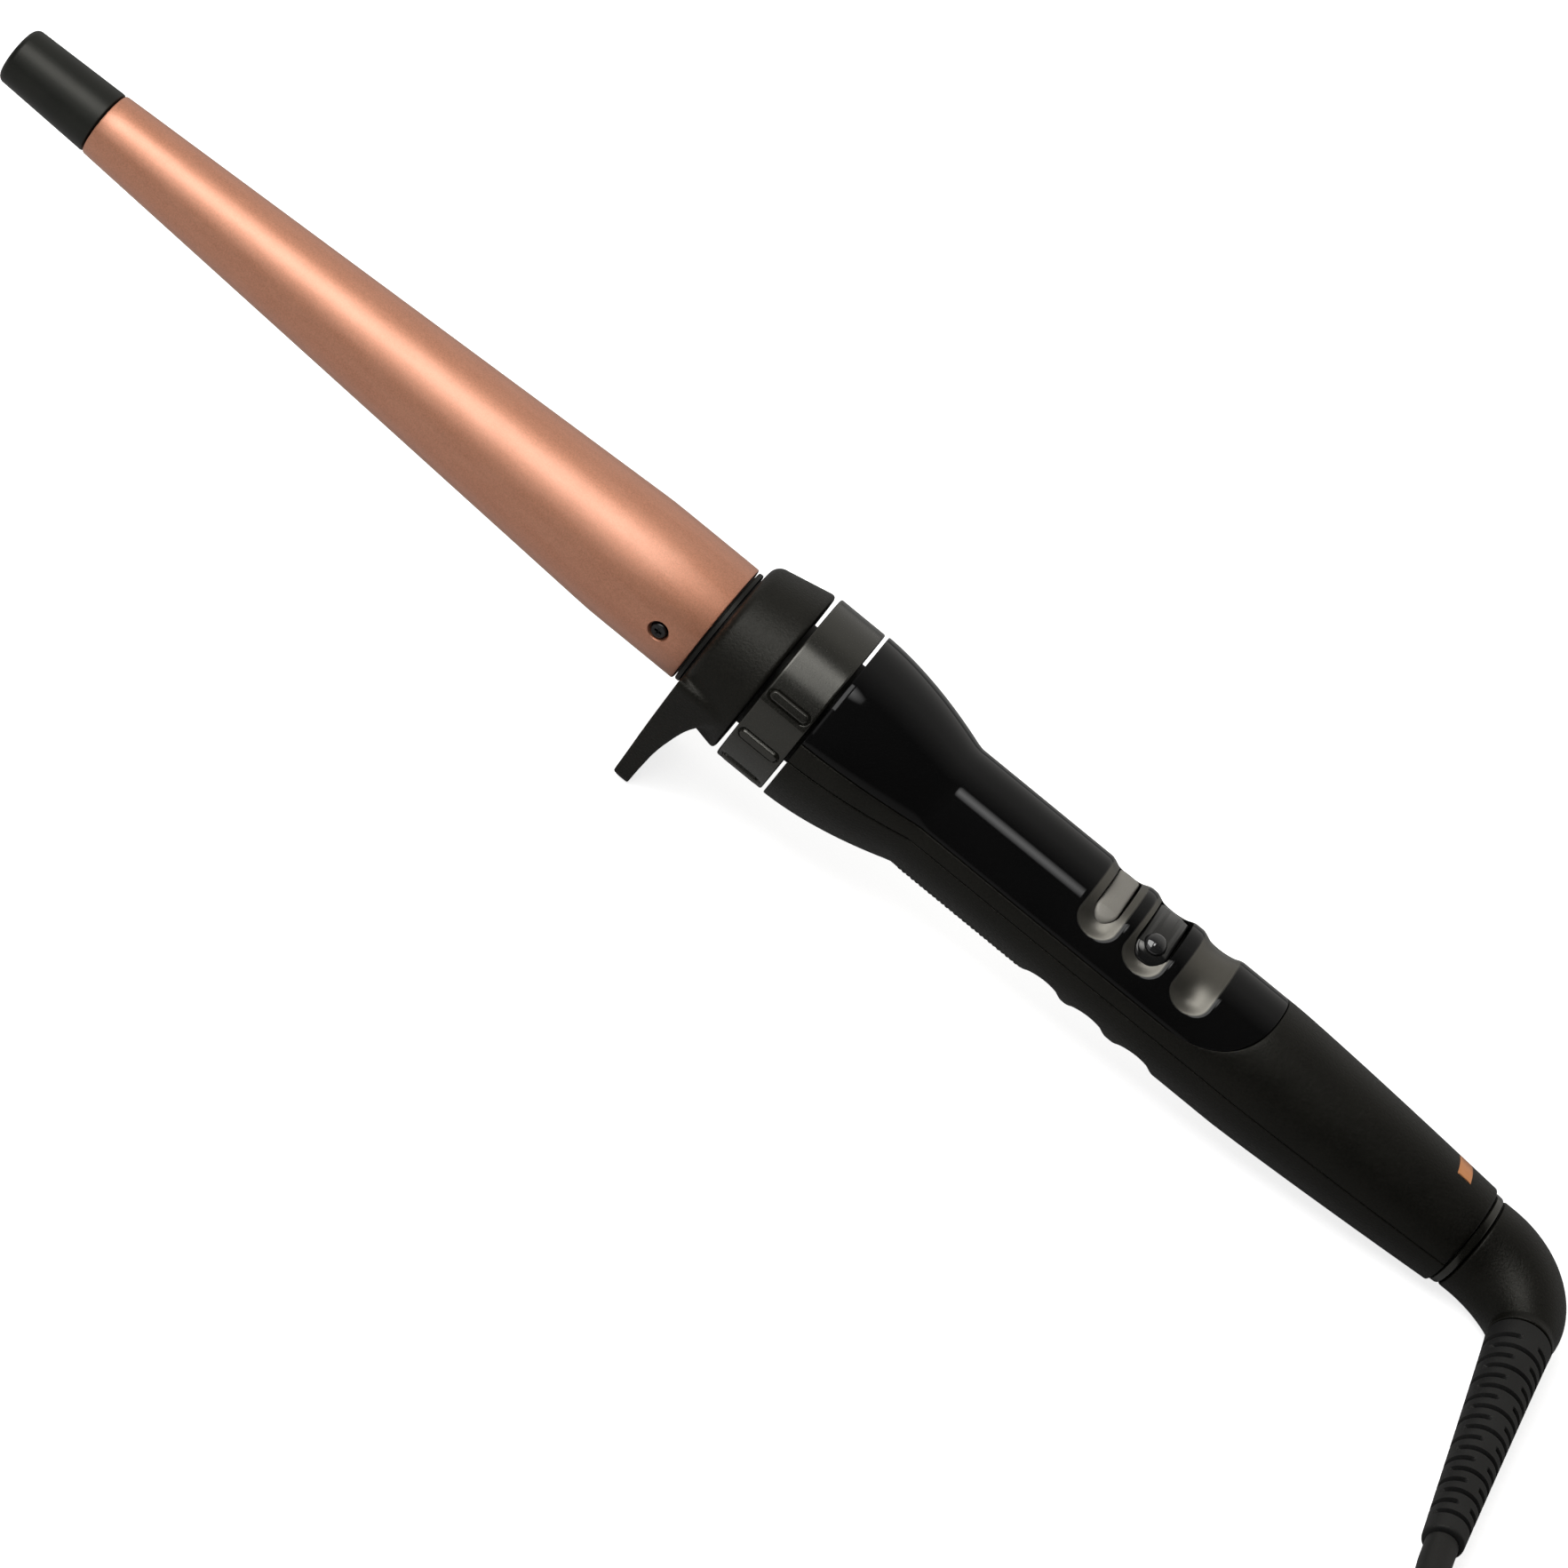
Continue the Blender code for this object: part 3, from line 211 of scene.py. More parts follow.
def set_camera():
    """A camera that looks across the wand's side from above, turned so that the wand lies slanted."""
    rise = math.radians(CAMERA_RISE)
    roll = math.radians(CAMERA_ROLL)
    towards = Vector((0.0, -math.cos(rise), math.sin(rise)))
    across = Vector((0.0, -math.sin(rise), -math.cos(rise)))
    along = Vector((1.0, 0.0, 0.0))
    right = math.cos(roll) * along - math.sin(roll) * across
    up = -(math.sin(roll) * along + math.cos(roll) * across)
    target = VIEW_MIDDLE[0] * along + VIEW_MIDDLE[1] * across
    place = target + CAMERA_DISTANCE * towards
    frame = Matrix((right, up, towards)).transposed().to_4x4()
    data = bpy.data.cameras.new("camera")
    data.lens = CAMERA_LENS
    data.sensor_width = 36.0
    data.clip_start = 0.05
    camera = bpy.data.objects.new("camera", data)
    camera.matrix_world = WAND @ Matrix.Translation(place * MM) @ frame
    bpy.context.scene.collection.objects.link(camera)
    bpy.context.scene.camera = camera


def area_light(name, target, direction, distance, size, power, spread=180.0):
    """A soft box that faces a target from a direction, both in the wand's frame."""
    data = bpy.data.lights.new(name, "AREA")
    data.shape = "RECTANGLE"
    data.size, data.size_y = size[0] * MM, size[1] * MM
    data.energy = power
    data.spread = math.radians(spread)
    light = bpy.data.objects.new(name, data)
    back = Vector(direction).normalized()
    side = Vector((1.0, 0.0, 0.0))
    side = (side - side.dot(back) * back).normalized()
    frame = Matrix((side, back.cross(side), back)).transposed().to_4x4()
    place = (Vector(target) + back * distance) * MM
    light.matrix_world = WAND @ Matrix.Translation(place) @ frame
    bpy.context.scene.collection.objects.link(light)
    return light


def set_world():
    """A studio that is dark in front and mid grey behind, brighter above the back."""
    world = bpy.data.worlds.new("studio")
    world.use_nodes = True
    tree = world.node_tree
    direction = add_node(tree, "ShaderNodeTexCoord").outputs["Generated"]
    split = add_node(tree, "ShaderNodeSeparateXYZ", Vector=direction)
    behind = scaled(tree, split.outputs["Y"], 0.0, 1.0, (-0.1, 0.5))
    back = blended(tree, behind, WORLD_FRONT, WORLD_BACK)
    tree.links.new(back, tree.nodes["Background"].inputs["Color"])
    bpy.context.scene.world = world


def set_light():
    """Two soft boxes over the barrel, a narrow one over the panel, and two fills without reflections."""
    bpy.context.scene.view_settings.view_transform = "Standard"
    set_world()
    area_light("barrel_bank", (-116.0, 0.0, 0.0), (0.0, -0.42, 0.91), 600.0, (568.0, 400.0), 3.1)
    area_light("barrel_front", (-130.0, 0.0, 0.0), (0.0, -0.883, 0.469), 600.0, (520.0, 380.0), 0.40)
    area_light("panel_strip", (242.5, 0.0, 0.0), (0.0, -0.24, 0.97), 600.0, (75.0, 190.0), 0.0035,
               spread=20.0)
    hidden_banks = (("side_key", (-0.75, -0.35, 0.56), 1.6), ("front_fill", (-0.1, -1.0, 0.35), 1.0))
    for name, direction, power in hidden_banks:
        fill = area_light(name, (190.0, 0.0, 0.0), direction, 850.0, (500.0, 500.0), power)
        fill.visible_glossy = False


def make_floor():
    """A large pale plane with a faint tone variation."""
    grid = bmesh.new()
    bmesh.ops.create_grid(grid, x_segments=8, y_segments=8, size=2.5)
    mesh = bpy.data.meshes.new("floor")
    grid.to_mesh(mesh)
    grid.free()
    floor = bpy.data.objects.new("floor", mesh)
    bpy.context.scene.collection.objects.link(floor)
    floor.data.materials.append(MATERIALS["paper"])


# ---------------------------------------------------------------- material nodes

def add_node(tree, kind, settings=None, **inputs):
    """A shader node; inputs are values, or sockets to link from."""
    node = tree.nodes.new(kind)
    for key, value in (settings or {}).items():
        setattr(node, key, value)
    for key, value in inputs.items():
        socket = node.inputs[int(key[1:])] if key[1:].isdigit() else node.inputs[key.replace("_", " ")]
        if isinstance(value, bpy.types.NodeSocket):
            tree.links.new(value, socket)
        else:
            socket.default_value = value
    return node


def place_socket(tree):
    """Position in the piece's own frame, in metres."""
    return add_node(tree, "ShaderNodeTexCoord").outputs["Object"]


def noise(tree, size_mm, detail=2.0, roughness=0.5, stretch=None):
    """Noise with features of about that size, longer by stretch along the wand's axes."""
    where = place_socket(tree)
    if stretch:
        where = add_node(tree, "ShaderNodeMapping", {"vector_type": "TEXTURE"}, Vector=where, Scale=stretch,
                         Rotation=(0.0, math.radians(STAND_TILT), 0.0)).outputs["Vector"]
    return add_node(tree, "ShaderNodeTexNoise", Vector=where, Scale=1.0 / (size_mm * MM), Detail=detail,
                    Roughness=roughness).outputs["Fac"]


def scaled(tree, value, low, high, source=(0.3, 0.7)):
    """The value mapped from the source range to low and high, and held there outside it."""
    node = add_node(tree, "ShaderNodeMapRange", Value=value, From_Min=source[0], From_Max=source[1],
                    To_Min=low, To_Max=high)
    return node.outputs["Result"]


def blended(tree, share, first, second):
    """A colour between two colours or sockets."""
    node = add_node(tree, "ShaderNodeMix", {"data_type": "RGBA"})
    tree.links.new(share, node.inputs[0])
    for socket, value in ((node.inputs[6], first), (node.inputs[7], second)):
        if isinstance(value, bpy.types.NodeSocket):
            tree.links.new(value, socket)
        else:
            socket.default_value = (*value, 1.0)
    return node.outputs[2]


def bumped(tree, height, depth_mm):
    """A normal tilted by the height, which stands for that many millimetres."""
    node = add_node(tree, "ShaderNodeBump", Height=height, Distance=depth_mm * MM, Strength=1.0)
    return node.outputs["Normal"]


def new_material(name):
    """A material with its node tree and its surface shader."""
    material = bpy.data.materials.new(name)
    material.use_nodes = True
    return material, material.node_tree, material.node_tree.nodes["Principled BSDF"]


def moulded(name, dark, light, grain_mm, roughness, bump_mm, coat=0.0, specular=0.25, cloud_mm=9.0):
    """Moulded or coated surface: fine grain in its colour, gloss and height, and faint clouds."""
    material, tree, shader = new_material(name)
    grain = noise(tree, grain_mm, 3.0, 0.6)
    cloud = noise(tree, cloud_mm, 2.0)
    tone = add_node(tree, "ShaderNodeMath", {"operation": "ADD"}, i0=scaled(tree, grain, 0.0, 0.6),
                    i1=scaled(tree, cloud, 0.0, 0.4)).outputs[0]
    tree.links.new(blended(tree, tone, dark, light), shader.inputs["Base Color"])
    tree.links.new(scaled(tree, grain, roughness[0], roughness[1]), shader.inputs["Roughness"])
    tree.links.new(bumped(tree, grain, bump_mm), shader.inputs["Normal"])
    shader.inputs["Specular IOR Level"].default_value = specular
    shader.inputs["Specular Tint"].default_value = (1.0, 0.98, 0.90, 1.0)
    shader.inputs["Coat Weight"].default_value = coat
    shader.inputs["Coat Roughness"].default_value = 0.03
    return material


def panel_material():
    """Piano black, with the satin grey of the thumb grooves where the surface is sunk."""
    material, tree, shader = new_material("piano_black")
    depth = add_node(tree, "ShaderNodeAttribute", {"attribute_name": "groove"}).outputs["Fac"]
    inside = scaled(tree, depth, 0.0, 1.0, (0.10, 0.22))
    fine = noise(tree, 0.12, 3.0, 0.6)
    wide = noise(tree, 14.0, 2.0)
    gloss = blended(tree, wide, (0.003, 0.003, 0.003), (0.005, 0.005, 0.005))
    satin = blended(tree, fine, (0.10, 0.095, 0.082), (0.15, 0.143, 0.125))
    tree.links.new(blended(tree, inside, gloss, satin), shader.inputs["Base Color"])
    rough = add_node(tree, "ShaderNodeMix", {"data_type": "FLOAT"})
    tree.links.new(inside, rough.inputs[0])
    tree.links.new(scaled(tree, wide, 0.045, 0.075), rough.inputs[2])
    rough.inputs[3].default_value = 0.34
    tree.links.new(rough.outputs[0], shader.inputs["Roughness"])
    height = add_node(tree, "ShaderNodeMath", {"operation": "MULTIPLY"}, i0=fine, i1=inside).outputs[0]
    tree.links.new(bumped(tree, height, 0.012), shader.inputs["Normal"])
    tree.links.new(scaled(tree, inside, 0.0, 0.8, (0.0, 1.0)), shader.inputs["Metallic"])
    shader.inputs["Specular IOR Level"].default_value = 0.2
    return material


def barrel_material():
    """Rose-gold ceramic coating: satin, with fine bright and dark specks."""
    material, tree, shader = new_material("rose_gold")
    speck = noise(tree, 0.30, 4.0, 0.75)
    streak = noise(tree, 1.6, 2.0, 0.5, (6.0, 1.0, 1.0))
    tone = scaled(tree, speck, 0.0, 1.0, (0.35, 0.65))
    base = blended(tree, tone, (0.64, 0.26, 0.14), (0.85, 0.40, 0.24))
    base = blended(tree, scaled(tree, streak, 0.0, 0.22), base, (0.90, 0.47, 0.31))
    tree.links.new(base, shader.inputs["Base Color"])
    shader.inputs["Metallic"].default_value = 1.0
    tree.links.new(scaled(tree, speck, 0.50, 0.62), shader.inputs["Roughness"])
    tree.links.new(bumped(tree, speck, 0.03), shader.inputs["Normal"])
    shader.inputs["Coat Weight"].default_value = 1.0
    shader.inputs["Coat IOR"].default_value = 1.65
    shader.inputs["Coat Roughness"].default_value = 0.38
    return material


def paper_material():
    """Pale floor: bright to the camera, dimmer in the light it throws on the wand."""
    material, tree, shader = new_material("paper")
    seen = add_node(tree, "ShaderNodeLightPath").outputs["Is Camera Ray"]
    tone = blended(tree, noise(tree, 40.0, 3.0), (0.80, 0.80, 0.80), (0.84, 0.84, 0.84))
    fibre = noise(tree, 0.8, 2.0)
    tree.links.new(blended(tree, seen, (0.40, 0.40, 0.40), tone), shader.inputs["Base Color"])
    tree.links.new(tone, shader.inputs["Emission Color"])
    tree.links.new(scaled(tree, seen, 0.0, FLOOR_GLOW, (0.0, 1.0)), shader.inputs["Emission Strength"])
    tree.links.new(scaled(tree, fibre, 0.8, 0.95), shader.inputs["Roughness"])
    tree.links.new(bumped(tree, fibre, 0.02), shader.inputs["Normal"])
    shader.inputs["Specular IOR Level"].default_value = 0.1
    return material


def metal_material(name, dark, light, roughness, brush=(8.0, 1.0, 1.0), bump_mm=0.004, size_mm=0.3):
    """Machined or plated metal with fine brush marks."""
    material, tree, shader = new_material(name)
    mark = noise(tree, size_mm, 3.0, 0.6, brush)
    stain = noise(tree, 6.0, 2.0)
    tone = add_node(tree, "ShaderNodeMath", {"operation": "MULTIPLY"}, i0=scaled(tree, mark, 0.2, 1.0),
                    i1=scaled(tree, stain, 0.6, 1.0)).outputs[0]
    tree.links.new(blended(tree, tone, dark, light), shader.inputs["Base Color"])
    shader.inputs["Metallic"].default_value = 1.0
    tree.links.new(scaled(tree, mark, roughness[0], roughness[1]), shader.inputs["Roughness"])
    tree.links.new(bumped(tree, mark, bump_mm), shader.inputs["Normal"])
    return material


def lens_material():
    """Smoked clear plastic over the power light."""
    material, tree, shader = new_material("smoked_clear")
    ripple = noise(tree, 1.5, 2.0)
    tone = blended(tree, ripple, (0.010, 0.010, 0.011), (0.022, 0.022, 0.022))
    tree.links.new(tone, shader.inputs["Base Color"])
    tree.links.new(scaled(tree, ripple, 0.03, 0.06), shader.inputs["Roughness"])
    shader.inputs["Coat Weight"].default_value = 1.0
    shader.inputs["Coat Roughness"].default_value = 0.02
    return material


MOULDED = {
    "cap_satin": dict(dark=(0.004, 0.0045, 0.004), light=(0.010, 0.011, 0.009),
                      grain_mm=0.18, roughness=(0.38, 0.46), bump_mm=0.006, specular=0.35),
    "neck_dark": dict(dark=(0.005, 0.005, 0.005), light=(0.011, 0.011, 0.010),
                      grain_mm=0.3, roughness=(0.42, 0.5), bump_mm=0.008),
    "eroded": dict(dark=(0.002, 0.0019, 0.0014), light=(0.007, 0.0067, 0.005),
                   grain_mm=0.45, roughness=(0.38, 0.5), bump_mm=0.09, specular=0.26),
    "dial_satin": dict(dark=(0.004, 0.004, 0.003), light=(0.010, 0.0098, 0.008),
                       grain_mm=0.3, roughness=(0.20, 0.28), bump_mm=0.006, specular=0.85),
    "grey_button": dict(dark=(0.20, 0.19, 0.168), light=(0.28, 0.266, 0.238),
                        grain_mm=0.14, roughness=(0.32, 0.42), bump_mm=0.006, specular=0.6),
    "black_button": dict(dark=(0.006, 0.006, 0.006), light=(0.011, 0.011, 0.011),
                         grain_mm=0.25, roughness=(0.08, 0.14), bump_mm=0.002, coat=0.5),
    "rubber": dict(dark=(0.009, 0.009, 0.009), light=(0.020, 0.020, 0.020),
                   grain_mm=0.25, roughness=(0.48, 0.6), bump_mm=0.012),
    "cord_skin": dict(dark=(0.010, 0.010, 0.010), light=(0.019, 0.019, 0.018),
                      grain_mm=0.4, roughness=(0.40, 0.5), bump_mm=0.010),
    "plug_black": dict(dark=(0.010, 0.010, 0.010), light=(0.020, 0.020, 0.019),
                       grain_mm=0.2, roughness=(0.42, 0.52), bump_mm=0.010),
    "insulator": dict(dark=(0.030, 0.026, 0.022), light=(0.055, 0.048, 0.040),
                      grain_mm=0.4, roughness=(0.3, 0.4), bump_mm=0.006),
    "ceramic": dict(dark=(0.68, 0.66, 0.62), light=(0.80, 0.78, 0.74),
                    grain_mm=0.3, roughness=(0.5, 0.65), bump_mm=0.008),
    "board_green": dict(dark=(0.02, 0.15, 0.06), light=(0.05, 0.24, 0.10),
                        grain_mm=0.5, roughness=(0.35, 0.5), bump_mm=0.006),
    "white_plastic": dict(dark=(0.62, 0.61, 0.57), light=(0.74, 0.73, 0.70),
                          grain_mm=0.4, roughness=(0.4, 0.5), bump_mm=0.004),
    "red_wire": dict(dark=(0.38, 0.03, 0.03), light=(0.52, 0.06, 0.05),
                     grain_mm=0.5, roughness=(0.4, 0.5), bump_mm=0.006),
    "blue_wire": dict(dark=(0.03, 0.07, 0.30), light=(0.06, 0.12, 0.42),
                      grain_mm=0.5, roughness=(0.4, 0.5), bump_mm=0.006),
}
METALS = {
    "black_steel": dict(dark=(0.035, 0.035, 0.035), light=(0.09, 0.09, 0.09), roughness=(0.26, 0.38)),
    "steel": dict(dark=(0.45, 0.45, 0.46), light=(0.66, 0.66, 0.66), roughness=(0.26, 0.38)),
    "copper": dict(dark=(0.84, 0.36, 0.16), light=(0.93, 0.43, 0.20), roughness=(0.30, 0.36)),
    "brass": dict(dark=(0.62, 0.44, 0.18), light=(0.82, 0.62, 0.30), roughness=(0.20, 0.32)),
    "aluminium": dict(dark=(0.58, 0.58, 0.60), light=(0.78, 0.78, 0.80), roughness=(0.30, 0.42)),
}


def make_materials():
    """Every material by name."""
    made = {name: moulded(name, **look) for name, look in MOULDED.items()}
    made.update({name: metal_material(name, **look) for name, look in METALS.items()})
    made["paper"] = paper_material()
    made["rose_gold"] = barrel_material()
    made["piano_black"] = panel_material()
    made["smoked_lens"] = lens_material()
    return made


# ---------------------------------------------------------------- mesh tools

def piece(name, points, faces, material, body=None, node=None, slot=None, frame=WAND, sharp=38.0):
    """A closed mesh from points in millimetres, riding on a body in place of a CAD node."""
    mesh = bpy.data.meshes.new(name)
    mesh.from_pydata((np.asarray(points, float) * MM).tolist(), [], [list(map(int, f)) for f in faces])
    tidy = bmesh.new()
    tidy.from_mesh(mesh)
    bmesh.ops.recalc_face_normals(tidy, faces=tidy.faces)
    tidy.to_mesh(mesh)
    tidy.free()
    obj = bpy.data.objects.new(name, mesh)
    bpy.context.scene.collection.objects.link(obj)
    obj.matrix_world = frame
    obj.data.materials.append(MATERIALS[material])
    smooth(obj, sharp)
    if body:
        attach(obj, body, node)
    return obj


def smooth(obj, sharp=38.0):
    """Shade smoothly across edges that turn less than the sharp angle."""
    obj.data.shade_smooth()
    obj.data.set_sharp_from_angle(angle=math.radians(sharp))


def attach(obj, body, node):
    """Keep the piece's points in the shared frame, and let it ride on a body."""
    obj.data.transform(obj.matrix_world)
    obj.matrix_world = WORLD
    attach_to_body(obj, body)
    if node:
        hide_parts(*([node] if isinstance(node, str) else node))
    return obj


def apply_modifiers(obj):
    """Replace the object's mesh by its evaluated one."""
    bpy.context.view_layer.update()
    evaluated = obj.evaluated_get(bpy.context.evaluated_depsgraph_get())
    mesh = bpy.data.meshes.new_from_object(evaluated)
    obj.modifiers.clear()
    obj.data = mesh


def boolean(obj, operation, *others):
    """Combine with the other objects, and remove them."""
    for other in others:
        modifier = obj.modifiers.new(operation.lower(), "BOOLEAN")
        modifier.operation = operation
        modifier.object = other
        modifier.solver = "EXACT"
    apply_modifiers(obj)
    for other in others:
        bpy.data.objects.remove(other, do_unlink=True)
    return obj


def grid_faces(rows, columns, start=0, wrap=False):
    """Quads of a grid of points; wrap joins the last column to the first."""
    faces = []
    for i in range(rows - 1):
        for j in range(columns if wrap else columns - 1):
            k = (j + 1) % columns
            a = start + i * columns
            faces.append((a + j, a + k, a + columns + k, a + columns + j))
    return faces


def skin(name, outer, inner, material, **options):
    """A closed wall between two grids of points that have the same rows and columns."""
    rows, columns = outer.shape[:2]
    count = rows * columns
    points = np.concatenate([outer.reshape(-1, 3), inner.reshape(-1, 3)])
    faces = grid_faces(rows, columns) + grid_faces(rows, columns, count)
    rim = list(range(columns)) + [i * columns + columns - 1 for i in range(1, rows)]
    rim += [(rows - 1) * columns + j for j in range(columns - 2, -1, -1)]
    rim += [i * columns for i in range(rows - 2, 0, -1)]
    for a, b in zip(rim, rim[1:] + rim[:1]):
        faces.append((a, b, b + count, a + count))
    return piece(name, points, faces, material, **options)


def revolved(name, profile, material, sides=96, place=None, closed=None, shape=None, **options):
    """Turn (position, radius) points about X, or along a path.

    place gives (centre, right, up) for a position; shape changes the radii, from arrays
    of position, angle and radius.  Points on the axis close the ends.
    """
    profile = np.array(profile, float)
    closed = profile[0][1] > 0.0 if closed is None else closed
    angles = np.arange(sides) * 360.0 / sides
    points, rings = [], []
    for position, radius in profile:
        centre, right, up = place(position) if place else ((position, 0, 0), (0, -1, 0), (0, 0, 1))
        centre, right, up = (np.array(v, float) for v in (centre, right, up))
        rings.append(len(points))
        if radius == 0.0:
            points.append(centre)
            continue
        radii = np.full(sides, radius)
        if shape:
            radii = shape(position, angles, radii)
        turn = np.radians(angles)[:, None]
        points.extend(centre + radii[:, None] * (np.sin(turn) * right + np.cos(turn) * up))
    faces = []
    order = list(range(len(profile)))
    pairs = list(zip(order, order[1:])) + ([(order[-1], 0)] if closed else [])
    for a, b in pairs:
        for j in range(sides):
            k = (j + 1) % sides
            low = (rings[a],) if profile[a][1] == 0.0 else (rings[a] + j, rings[a] + k)
            high = (rings[b],) if profile[b][1] == 0.0 else (rings[b] + k, rings[b] + j)
            if len(low) + len(high) > 2:
                faces.append(low + high)
    return piece(name, points, faces, material, **options)


def arc(centre, radius, start, end, count):
    """Points of an arc, with its angles in degrees from the first axis."""
    angles = [math.radians(start + (end - start) * i / count) for i in range(count + 1)]
    return [(centre[0] + radius * math.cos(a), centre[1] + radius * math.sin(a)) for a in angles]


def extruded(name, outline, low, high, view, **options):
    """A flat outline made solid along Z, then turned by the view matrix."""
    count = len(outline)
    points = [view @ Vector((a, b, z)) for z in (low, high) for a, b in outline]
    faces = [tuple(range(count)), tuple(range(2 * count - 1, count - 1, -1))]
    faces += [(i, (i + 1) % count, (i + 1) % count + count, i + count) for i in range(count)]
    return piece(name, points, faces, "eroded", **options)


# views to draw outlines in: from above, from the side, and along the axis
PLAN = Matrix.Identity(4)
SIDE = Matrix.Rotation(math.radians(90.0), 4, "X")
FRONT = Matrix(((0, 0, 1, 0), (1, 0, 0, 0), (0, 1, 0, 0), (0, 0, 0, 1)))


def rounded_bar(centre_x, width, half_length, corner, count=8):
    """A bar outline across the wand with rounded corners, in X and Y."""
    x = max(0.001, width * 0.5 - corner)
    y = half_length - corner
    outline = []
    for i, (across, along) in enumerate(((x, y), (-x, y), (-x, -y), (x, -y))):
        outline += arc((centre_x + across, along), corner, 90.0 * i, 90.0 * (i + 1), count)
    return outline


def button_outline(button, grow=0.0):
    """Outline of a button, or of the slot around it."""
    return rounded_bar(button["x"], button["width"] + 2 * grow, button["half_length"] + grow,
                       button["corner"] + grow)


def smooth_path(knots, spacing):
    """Points about one spacing apart on a Catmull-Rom curve through the knots."""
    knots = [Vector(p) for p in knots]
    knots = [2 * knots[0] - knots[1]] + knots + [2 * knots[-1] - knots[-2]]
    path = []
    for a, b, c, d in zip(knots, knots[1:], knots[2:], knots[3:]):
        count = max(1, round((c - b).length / spacing))
        for i in range(count):
            t = i / count
            path.append(0.5 * (2 * b + (c - a) * t + (2 * a - 5 * b + 4 * c - d) * t * t
                               + (3 * b - 3 * c + d - a) * t ** 3))
    return path + [knots[-2]]


def tube(name, path, radius, material, sides=20, **options):
    """A round bar along a path, with flat ends."""
    path = [Vector(p) for p in path]
    points, faces = [], []
    side = None
    for i, here in enumerate(path):
        ahead = path[min(i + 1, len(path) - 1)] - path[max(i - 1, 0)]
        ahead.normalize()
        side = (Vector((0, 0, 1)) if side is None else side)
        side = (side - side.dot(ahead) * ahead).normalized()
        other = ahead.cross(side)
        for j in range(sides):
            turn = 2.0 * math.pi * j / sides
            points.append(here + radius * (math.cos(turn) * side + math.sin(turn) * other))
    faces = grid_faces(len(path), sides, wrap=True)
    faces.append(tuple(range(sides)))
    faces.append(tuple(range(len(points) - 1, len(points) - sides - 1, -1)))
    return piece(name, points, faces, material, **options)


# ---------------------------------------------------------------- outer form

def handle_radius(x):
    """Outside of the handle: flared front, straight grip, slightly tapered tail."""
    x = np.asarray(x, float)
    front = np.clip((x - HANDLE_START) / (FLARE_END - HANDLE_START), 0.0, 1.0)
    tail = np.clip((x - TAIL_START) / (HANDLE_END - TAIL_START), 0.0, 1.0)
    flare = FLARE_RADIUS - (FLARE_RADIUS - GRIP_RADIUS) * front ** 1.75
    return flare - (GRIP_RADIUS - TAIL_RADIUS) * tail ** 1.25


def smooth_min(a, b, width):
    """The smaller of two values, rounded over where they are within the width of each other."""
    mixed = np.clip(width - np.abs(a - b), 0.0, None) / width
    return np.minimum(a, b) - mixed * mixed * width * 0.25


def grooved_radius(x, angle):
    """Handle radius with the three grooves; the angle is from the grooves' middle."""
    result = handle_radius(x)
    past = np.radians(np.clip(np.abs(angle) - GROOVE_ARC, 0.0, 60.0))
    for centre in GROOVE_CENTRES:
        room = GROOVE_TUBE_RADIUS ** 2 - (x - centre) ** 2 - (GROOVE_RING_RADIUS * np.sin(past)) ** 2
        floor = GROOVE_RING_RADIUS * np.cos(past) - np.sqrt(np.clip(room, 0.0, None))
        result = smooth_min(result, np.where(room > 0.0, floor, FLARE_RADIUS * 2.0), GROOVE_BLEND)
    return result


def fillet_steps(radius=FILLET):
    """(offset from the edge, depth) pairs of a rounded edge, from the wall to the surface."""
    return [(radius * (1 - math.cos(t)), radius * (1 - math.sin(t)))
            for t in (math.radians(a) for a in (0.0, 22.5, 45.0, 67.5, 90.0))]


def stations(*spans):
    """Positions from (start, end, spacing) spans that follow each other."""
    result = []
    for start, end, spacing in spans:
        count = max(1, round((end - start) / spacing))
        result += [start + (end - start) * i / count for i in range(count)]
    return np.array(result + [spans[-1][1]])


# ---------------------------------------------------------------- cord and plug

def coil_point(angle, radius, height):
    """A point in world millimetres at an angle and radius from the coil's middle."""
    turn = math.radians(angle)
    return Vector((*COIL_CENTRE, 0.0)) + Vector((radius * math.cos(turn), radius * math.sin(turn), height))


def coil_path():
    """The cord's turns, counter-clockwise: four inwards on the table, a climb, three outwards on top."""
    leave = PLUG_HEADING - 90.0 - PLUG_BEND
    total = COIL_TURNS + (leave - COIL_ARRIVAL) / 360.0
    count = round(total * STEPS_PER_TURN)
    path = []
    for i in range(count + 1):
        turns = total * i / count
        inwards = COIL_RADII[0] - COIL_PITCH * turns
        outwards = COIL_RADII[2] + COIL_PITCH * (turns - CLIMB_TURN)
        radius = -smooth_min(-inwards, -outwards, 2.0)
        radius = smooth_min(radius, COIL_RADII[1], 1.5) if turns > CLIMB_TURN else radius
        climbed = ease((turns - CLIMB_TURN + 0.2) / 0.3)
        height = COIL_LAYERS[0] + (COIL_LAYERS[1] - COIL_LAYERS[0]) * climbed
        path.append(coil_point(COIL_ARRIVAL + 360.0 * turns, radius, height))
    return path


